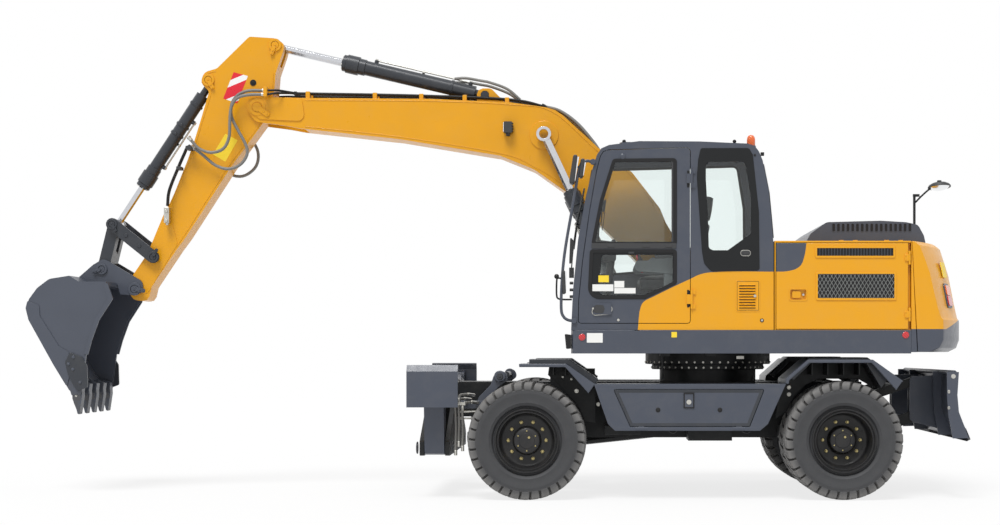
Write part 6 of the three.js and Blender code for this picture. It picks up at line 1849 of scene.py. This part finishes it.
cutters = Piece("bucket_side_cutters", "bucket", "barrel", "grey_paint")
cutter_bolts = Piece("bucket_cutter_bolts", "bucket", "bucket", "grey_paint")
for side in SIDES.values():
    low, high = side * (BUCKET_HALF - 0.002), side * (BUCKET_HALF + 0.018)
    cutters.prism(
        mm(
            (-5907, 1306, 20), (-5795, 1262, 20), (-5748, 1183, 30), (-5742, 985, 20), (-5840, 949, 20),
            (-5922, 1094), (-5951, 1216, 20),
        ),
        low, high,
    )
    for x, z in mm((-5873, 1262), (-5917, 1199), (-5876, 1150), (-5810, 1030)):
        cutter_bolts.bolt((x, side * (BUCKET_HALF + 0.018), z), (0, side, 0), 0.014)
    # wear plate round the heel, and the reinforcing strip along the top edge
    cutter_bolts.prism(
        mm(
            (-5935, 985, 10), (-6060, 1190), (-6290, 1604, 40), (-6317, 1712, 40), (-6300, 1780, 10),
            (-6194, 1742, 10), (-6185, 1640, 20), (-6010, 1364, 30), (-5918, 1309, 10), (-5912, 1100),
        ),
        side * (BUCKET_HALF - 0.010), side * (BUCKET_HALF + 0.008),
    )
    cutter_bolts.prism(
        mm(
            (-5562, 1945, 10), (-5512, 1800, 20), (-5640, 1600), (-5706, 1417), (-5742, 1284),
            (-5780, 1290), (-5740, 1425), (-5676, 1612), (-5560, 1800, 10), (-5600, 1935, 10),
        ),
        side * (BUCKET_HALF - 0.006), side * (BUCKET_HALF + 0.010),
    )
cutters.done(bevel=0.003)
cutter_bolts.done(bevel=0.002)

wear = Piece("bucket_wear_strips", "bucket", "bucket", "grey_paint")
HEEL = mm((-5905, 945), (-6056, 1188), (-6287, 1604), (-6315, 1712), (-6290, 1798))
for i in range(-2, 3):
    y = i * 0.235
    wear.strip([(x, z) for x, z in reversed(HEEL)], y - 0.045, y + 0.045, -0.014)
wear.done(bevel=0.003)

stops = Piece("rocker_spacers", "rocker", "barrel", "grey_paint")
for side in SIDES.values():
    rocker_y = side * 0.192
    for share in (0.34, 0.66):
        spot = Vector(PINS["rocker"]).lerp(Vector(ROCKER_TIP), share)
        stops.bar(
            (spot.x, rocker_y - side * 0.002, spot.y), (spot.x, rocker_y + side * 0.010, spot.y), 0.020, 24,
        )
stops.done(bevel=0.002)

# ---------------------------------------------------------------- seat and driver's controls

CAB_FLOOR = node_box("seat")[0].z
SEAT_X, SEAT_Y = -0.405, (node_box("seat")[0].y + node_box("seat")[1].y) / 2


def in_cab(x, y, z):
    return Vector((SEAT_X + x, SEAT_Y + y, CAB_FLOOR + z))


def cushion(name, centre, ahead, up, half, crown, channels=(), softness=0.42, replaces=()):
    """A padded form: crowned face, sides drawn in between its corners, sewn channels and a piped edge.

    half holds its half sizes ahead, sideways and up. Each channel is (axis, place, depth), in shares.
    """
    ahead, up = Vector(ahead).normalized(), Vector(up).normalized()
    across = up.cross(ahead)

    def placed(point):
        cube = Vector(point)
        x, y, z = cube
        ball = Vector(
            (
                x * math.sqrt(1 - y * y / 2 - z * z / 2 + y * y * z * z / 3),
                y * math.sqrt(1 - z * z / 2 - x * x / 2 + z * z * x * x / 3),
                z * math.sqrt(1 - x * x / 2 - y * y / 2 + x * x * y * y / 3),
            )
        )
        soft = cube.lerp(ball, softness)
        soft.x *= 1 - 0.035 * (1 - y * y)
        soft.y *= 1 - 0.035 * (1 - x * x)
        lift = crown * (1 - x * x) * (1 - y * y) * max(z, 0)
        sunk = 0
        for axis, place, depth in channels:
            gap = (point[axis] - place) / 0.05
            sunk += depth * math.exp(-gap * gap) * max(z, 0)
        return (
            Vector(centre)
            + ahead * soft.x * half[0]
            + across * soft.y * half[1]
            + up * (soft.z * half[2] + lift - sunk)
        )

    piece = Piece(name, None, "fabric", "seat_fabric")
    bmesh.ops.create_cube(piece.bm, size=2)
    bmesh.ops.subdivide_edges(piece.bm, edges=piece.bm.edges[:], cuts=25, use_grid_fill=True)
    for vert in piece.bm.verts:
        vert.co = placed(vert.co)
    made = piece.done(crease=180, replaces=replaces)
    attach(made, "upper")
    piping = Piece(f"{name}_piping", "upper", "rubber", "seat_fabric")
    steps = 20
    edge = []
    for (x0, y0), (x1, y1) in zip(((-1, -1), (1, -1), (1, 1), (-1, 1)), ((1, -1), (1, 1), (-1, 1), (-1, -1))):
        for k in range(steps):
            t = k / steps
            edge.append(placed((x0 + (x1 - x0) * t, y0 + (y1 - y0) * t, 0.62)))
    piping.tube([*edge, edge[0]], 0.0045, 8, smooth=False)
    piping.done(crease=180)


channels = [(1, -0.55, 0.008), (1, 0.55, 0.008)]
cushion(
    "seat_cushion", in_cab(-0.03, 0, 0.362), (1, 0, -0.04), (0.04, 0, 1), (0.262, 0.245, 0.062), 0.022,
    [*channels, (0, -0.35, 0.007), (0, 0.30, 0.007)], replaces=("seat",),
)
lean = (0.13, 0, 0.63)
cushion(
    "seat_back", in_cab(0.262, 0, 0.625), lean, (-0.63, 0, 0.13), (0.322, 0.235, 0.058), 0.020,
    [*channels, (0, -0.45, 0.007), (0, 0.0, 0.007), (0, 0.45, 0.007)],
)
cushion(
    "seat_headrest", in_cab(0.348, 0, 1.045), (0.035, 0, 0.225), (-0.225, 0, 0.035), (0.115, 0.130, 0.045),
    0.010,
    [(0, 0.0, 0.004)],
)
frame_piece = Piece("seat_frame", "upper", "plastic", "control_plastic")
frame_piece.block(in_cab(-0.16, -0.135, 0.002), in_cab(0.17, 0.135, 0.040))
frame_piece.block(in_cab(-0.18, -0.150, 0.250), in_cab(0.19, 0.150, 0.298))
for rib in range(6):
    z = 0.055 + 0.034 * rib
    frame_piece.prism(
        [
            (SEAT_X - 0.150, SEAT_Y - 0.125, 0.03), (SEAT_X + 0.160, SEAT_Y - 0.125, 0.03),
            (SEAT_X + 0.160, SEAT_Y + 0.125, 0.03), (SEAT_X - 0.150, SEAT_Y + 0.125, 0.03),
        ],
        CAB_FLOOR + z - 0.012, CAB_FLOOR + z + 0.012, "plan",
    )
for side in SIDES.values():
    frame_piece.tube(
        [
            in_cab(0.318, side * 0.06, 0.90), in_cab(0.328, side * 0.06, 0.96),
            in_cab(0.345, side * 0.06, 1.02),
        ],
        0.008, 10
    )
    frame_piece.prism(
        [
            (SEAT_X + 0.195, CAB_FLOOR + 0.285, 0.03), (SEAT_X + 0.300, CAB_FLOOR + 0.300, 0.03),
            (SEAT_X + 0.345, CAB_FLOOR + 0.480, 0.03), (SEAT_X + 0.300, CAB_FLOOR + 0.490, 0.03),
        ],
        SEAT_Y + side * 0.232, SEAT_Y + side * 0.246,
    )
frame_piece.done(bevel=0.005)

pods = Piece("armrest_pods", "upper", "trim", "control_plastic")

sticks = Piece("joysticks", "upper", "plastic", "control_plastic")
boots = Piece("joystick_boots", "upper", "rubber", "control_plastic")
switches = Piece("console_switches", "upper", "plastic", "control_plastic")
for hand, side in SIDES.items():
    y0, y1 = sorted((SEAT_Y + side * 0.258, SEAT_Y + side * 0.324))
    pods.prism(
        [
            (SEAT_X - 0.330, CAB_FLOOR + 0.470, 0.04), (SEAT_X - 0.300, CAB_FLOOR + 0.560, 0.03),
            (SEAT_X - 0.190, CAB_FLOOR + 0.566, 0.02), (SEAT_X - 0.170, CAB_FLOOR + 0.582, 0.01),
            (SEAT_X + 0.150, CAB_FLOOR + 0.590, 0.04), (SEAT_X + 0.150, CAB_FLOOR + 0.430, 0.03),
        ],
        y0, y1,
    )
    pods.block(
        (SEAT_X - 0.055, y0 + 0.006, CAB_FLOOR + 0.010), (SEAT_X + 0.055, y1 - 0.010, CAB_FLOOR + 0.480),
    )
    middle = SEAT_Y + side * 0.291
    cushion(
        f"armrest_pad_{hand}", (SEAT_X + 0.0, middle, CAB_FLOOR + 0.606), (1, 0, 0.02), (-0.02, 0, 1),
        (0.140, 0.034, 0.020), 0.006, softness=0.5,
    )
    foot = Vector((SEAT_X - 0.262, middle, CAB_FLOOR + 0.556))
    lean_out = Vector((-0.14, 0, 1)).normalized()
    profile = []
    for rib in range(5):
        profile += [(0.031 - 0.004 * rib, 0.009 * rib), (0.026 - 0.004 * rib, 0.009 * rib + 0.0045)]
    boots.lathe(profile, foot, lean_out, 28)
    sticks.lathe(
        [
            (0.008, 0.020), (0.008, 0.070), (0.017, 0.076), (0.019, 0.090), (0.0165, 0.105), (0.018, 0.120),
            (0.0165, 0.135), (0.020, 0.150), (0.023, 0.165), (0.020, 0.176), (0.008, 0.180),
        ],
        foot, lean_out, 24,
    )
    for k in range(3):
        spot = Vector((SEAT_X - 0.150 + 0.034 * k, middle - side * 0.018, CAB_FLOOR + 0.588 + 0.001 * k))
        switches.block(spot - Vector((0.011, 0.007, 0.008)), spot + Vector((0.011, 0.007, 0.004)))
pods.done(bevel=0.006)
boots.done(crease=60)
sticks.done(crease=50)
switches.done(bevel=0.002)

column = Piece("steering_column", "upper", "plastic", "control_plastic")
column.tube(
    [in_cab(-0.600, 0, 0.006), in_cab(-0.555, 0, 0.33), in_cab(-0.520, 0, 0.58), in_cab(-0.503, 0, 0.70)],
    0.036, 24,
)
column.lathe(
    [(0.070, 0.0), (0.062, 0.012), (0.045, 0.030), (0.040, 0.060)], in_cab(-0.600, 0, 0.008), (0.14, 0, 1),
    28,
)
column.prism(
    [
        (SEAT_X - 0.585, CAB_FLOOR + 0.560, 0.02), (SEAT_X - 0.600, CAB_FLOOR + 0.680, 0.03),
        (SEAT_X - 0.470, CAB_FLOOR + 0.700, 0.02), (SEAT_X - 0.475, CAB_FLOOR + 0.570, 0.03),
    ],
    SEAT_Y - 0.055, SEAT_Y + 0.055,
)
wheel_middle, wheel_up = in_cab(-0.500, 0, 0.726), Vector((0.14, 0, 1)).normalized()
wheel_ahead = wheel_up.cross(Vector((0, 1, 0)))
rim_points = []
for k in range(49):
    turn = math.tau * k / 48
    rim_points.append(
        wheel_middle + wheel_ahead * 0.175 * math.cos(turn) + Vector((0, 1, 0)) * 0.175 * math.sin(turn)
    )
column.tube(rim_points, 0.0135, 14, smooth=False)
for turn in (math.pi / 2, math.pi * 7 / 6, math.pi * 11 / 6):
    out = wheel_ahead * math.cos(turn) + Vector((0, 1, 0)) * math.sin(turn)
    column.tube(
        [
            wheel_middle + out * 0.020 - wheel_up * 0.012, wheel_middle + out * 0.100 - wheel_up * 0.010,
            wheel_middle + out * 0.172,
        ],
        0.0085, 12,
    )
column.lathe(
    [(0.042, -0.026), (0.046, -0.012), (0.042, 0.004), (0.030, 0.009), (0.006, 0.010)], wheel_middle,
    wheel_up, 32,
)
column.ball(wheel_middle + Vector((0, 0.150, 0)) + wheel_up * 0.035, 0.021)
column.bar(
    wheel_middle + Vector((0, 0.150, 0)) - wheel_ahead * 0.03,
    wheel_middle + Vector((0, 0.150, 0)) + wheel_up * 0.035, 0.008,
)
for side in SIDES.values():
    column.tube(
        [
            in_cab(-0.525, side * 0.050, 0.655), in_cab(-0.525, side * 0.110, 0.665),
            in_cab(-0.520, side * 0.165, 0.675),
        ],
        0.006, 10
    )
column.done(bevel=0.002, crease=50, replaces=("cab_controls",))

floor_mat = Piece("cab_floor_mat", "upper", "rubber", "control_plastic")
floor_mat.prism(
    [
        (SEAT_X - 0.640, SEAT_Y - 0.310, 0.05), (SEAT_X + 0.060, SEAT_Y - 0.310, 0.02),
        (SEAT_X + 0.060, SEAT_Y + 0.310, 0.02), (SEAT_X - 0.640, SEAT_Y + 0.310, 0.05),
    ],
    CAB_FLOOR, CAB_FLOOR + 0.006, "plan",
)
for k in range(11):
    y = SEAT_Y - 0.275 + 0.055 * k
    floor_mat.block(
        (SEAT_X - 0.600, y - 0.006, CAB_FLOOR + 0.005), (SEAT_X - 0.210, y + 0.006, CAB_FLOOR + 0.009),
    )
floor_mat.done(bevel=0.001, segments=1)
pedals = Piece("pedals", "upper", "plastic", "control_plastic")
for side in SIDES.values():
    y = SEAT_Y + side * 0.130
    pedals.strip(
        [
            (SEAT_X - 0.560, CAB_FLOOR + 0.130), (SEAT_X - 0.500, CAB_FLOOR + 0.060),
            (SEAT_X - 0.430, CAB_FLOOR + 0.022),
        ],
        y - 0.045, y + 0.045, 0.010,
    )
    pedals.bar(
        (SEAT_X - 0.505, y - 0.030, CAB_FLOOR + 0.030), (SEAT_X - 0.505, y + 0.030, CAB_FLOOR + 0.030),
        0.020, 20,
    )
    for k in range(5):
        pedals.bar(
            (SEAT_X - 0.545 + 0.022 * k, y - 0.040, CAB_FLOOR + 0.116 - 0.024 * k),
            (SEAT_X - 0.545 + 0.022 * k, y + 0.040, CAB_FLOOR + 0.116 - 0.024 * k), 0.0035, 8,
        )
pedals.done(bevel=0.002)
lever = Piece("safety_lever", "upper", "red", "control_plastic")
lever.tube([in_cab(-0.24, -0.236, 0.46), in_cab(-0.28, -0.238, 0.56), in_cab(-0.30, -0.238, 0.66)], 0.009, 12)
lever.ball(in_cab(-0.302, -0.238, 0.672), 0.017)
lever.done(crease=60)
display = Piece("display_case", "upper", "plastic", "control_plastic")
display.prism(
    [
        (SEAT_X - 0.600, CAB_FLOOR + 0.860, 0.02), (SEAT_X - 0.610, CAB_FLOOR + 1.050, 0.02),
        (SEAT_X - 0.575, CAB_FLOOR + 1.045, 0.02), (SEAT_X - 0.600, CAB_FLOOR + 0.855, 0.02),
    ],
    SEAT_Y + 0.150, SEAT_Y + 0.330,
)
display.tube([in_cab(-0.640, 0.30, 0.80), in_cab(-0.635, 0.27, 0.88), in_cab(-0.625, 0.24, 0.94)], 0.012, 12)
display.tube([in_cab(-0.640, 0.34, 0.40), in_cab(-0.645, 0.33, 0.62), in_cab(-0.640, 0.30, 0.80)], 0.014, 12)
display.done(bevel=0.004)
screen = Piece("display_screen", "upper", "border", "control_plastic")
screen.panel(
    plate_corners(-0.075, 0.075, -0.075, 0.080, 0.006), in_cab(-0.5875, 0.240, 0.950),
    (0, 1, 0), (0.13, 0, 0.99), -0.002, 0.0035,
)
screen.done()

# ---------------------------------------------------------------- floor, light and camera


def studio():
    """A white floor that keeps the shadow, a soft high light, and a plain world."""
    floor = Piece("floor", None, "label")
    floor.block((-30, -30, -0.02), (30, 30, 0))
    ground = floor.done()
    material = new_material("studio_floor")
    tree = material.node_tree
    tree.nodes.remove(tree.nodes["Principled BSDF"])
    lit = add(tree, "ShaderNodeBsdfDiffuse", {"Color": (0.80, 0.80, 0.80, 1)}).outputs[0]
    white = add(tree, "ShaderNodeEmission", {"Color": (1, 1, 1, 1), "Strength": 1.0}).outputs[0]
    rays = add(tree, "ShaderNodeLightPath").outputs
    seen = maths(tree, "MAXIMUM", rays["Is Camera Ray"], rays["Is Glossy Ray"])
    seen = maths(tree, "MAXIMUM", seen, rays["Is Transmission Ray"])
    both = add(tree, "ShaderNodeMixShader", {0: maths(tree, "MULTIPLY", seen, FLOOR_WHITE), 1: lit, 2: white})
    tree.links.new(both.outputs[0], tree.nodes["Material Output"].inputs["Surface"])
    ground.data.materials[0] = material

    world = bpy.data.worlds.new("studio")
    bpy.context.scene.world = world
    world.use_nodes = True
    tree = world.node_tree
    tree.nodes.clear()
    rays = add(tree, "ShaderNodeLightPath").outputs
    seen = maths(tree, "MAXIMUM", rays["Is Camera Ray"], rays["Is Glossy Ray"])
    seen = maths(tree, "MAXIMUM", seen, rays["Is Transmission Ray"])
    plain = add(tree, "ShaderNodeBackground", {"Color": (1, 1, 1, 1), "Strength": WORLD_LIGHT}).outputs[0]
    white = add(tree, "ShaderNodeBackground", {"Color": (1, 1, 1, 1), "Strength": 1.0}).outputs[0]
    both = add(tree, "ShaderNodeMixShader", {0: seen, 1: plain, 2: white})
    output = add(tree, "ShaderNodeOutputWorld")
    tree.links.new(both.outputs[0], output.inputs["Surface"])

    sun = bpy.data.lights.new("soft_sun", "SUN")
    sun.energy, sun.angle = SUN_LIGHT, math.radians(25)
    lamp = bpy.data.objects.new("soft_sun", sun)
    lamp.rotation_euler = Vector(SUN_FROM).to_track_quat("Z", "Y").to_euler()
    bpy.context.scene.collection.objects.link(lamp)


FLOOR_WHITE = 0.80
WORLD_LIGHT = 0.55
SUN_LIGHT = 2.6
SUN_FROM = (-0.25, -0.75, 1.35)
studio()

lens = bpy.data.cameras.new("camera")
lens.lens, lens.sensor_width = 62.98, 36
lens.shift_x, lens.shift_y = -0.095, 0.0875
viewer = bpy.data.objects.new("camera", lens)
viewer.location = (slew_x - 1.070, -16.65, 1.327)
viewer.rotation_euler = (math.pi / 2, 0, 0)
bpy.context.scene.collection.objects.link(viewer)
bpy.context.scene.camera = viewer
bpy.context.scene.view_settings.view_transform = "Standard"
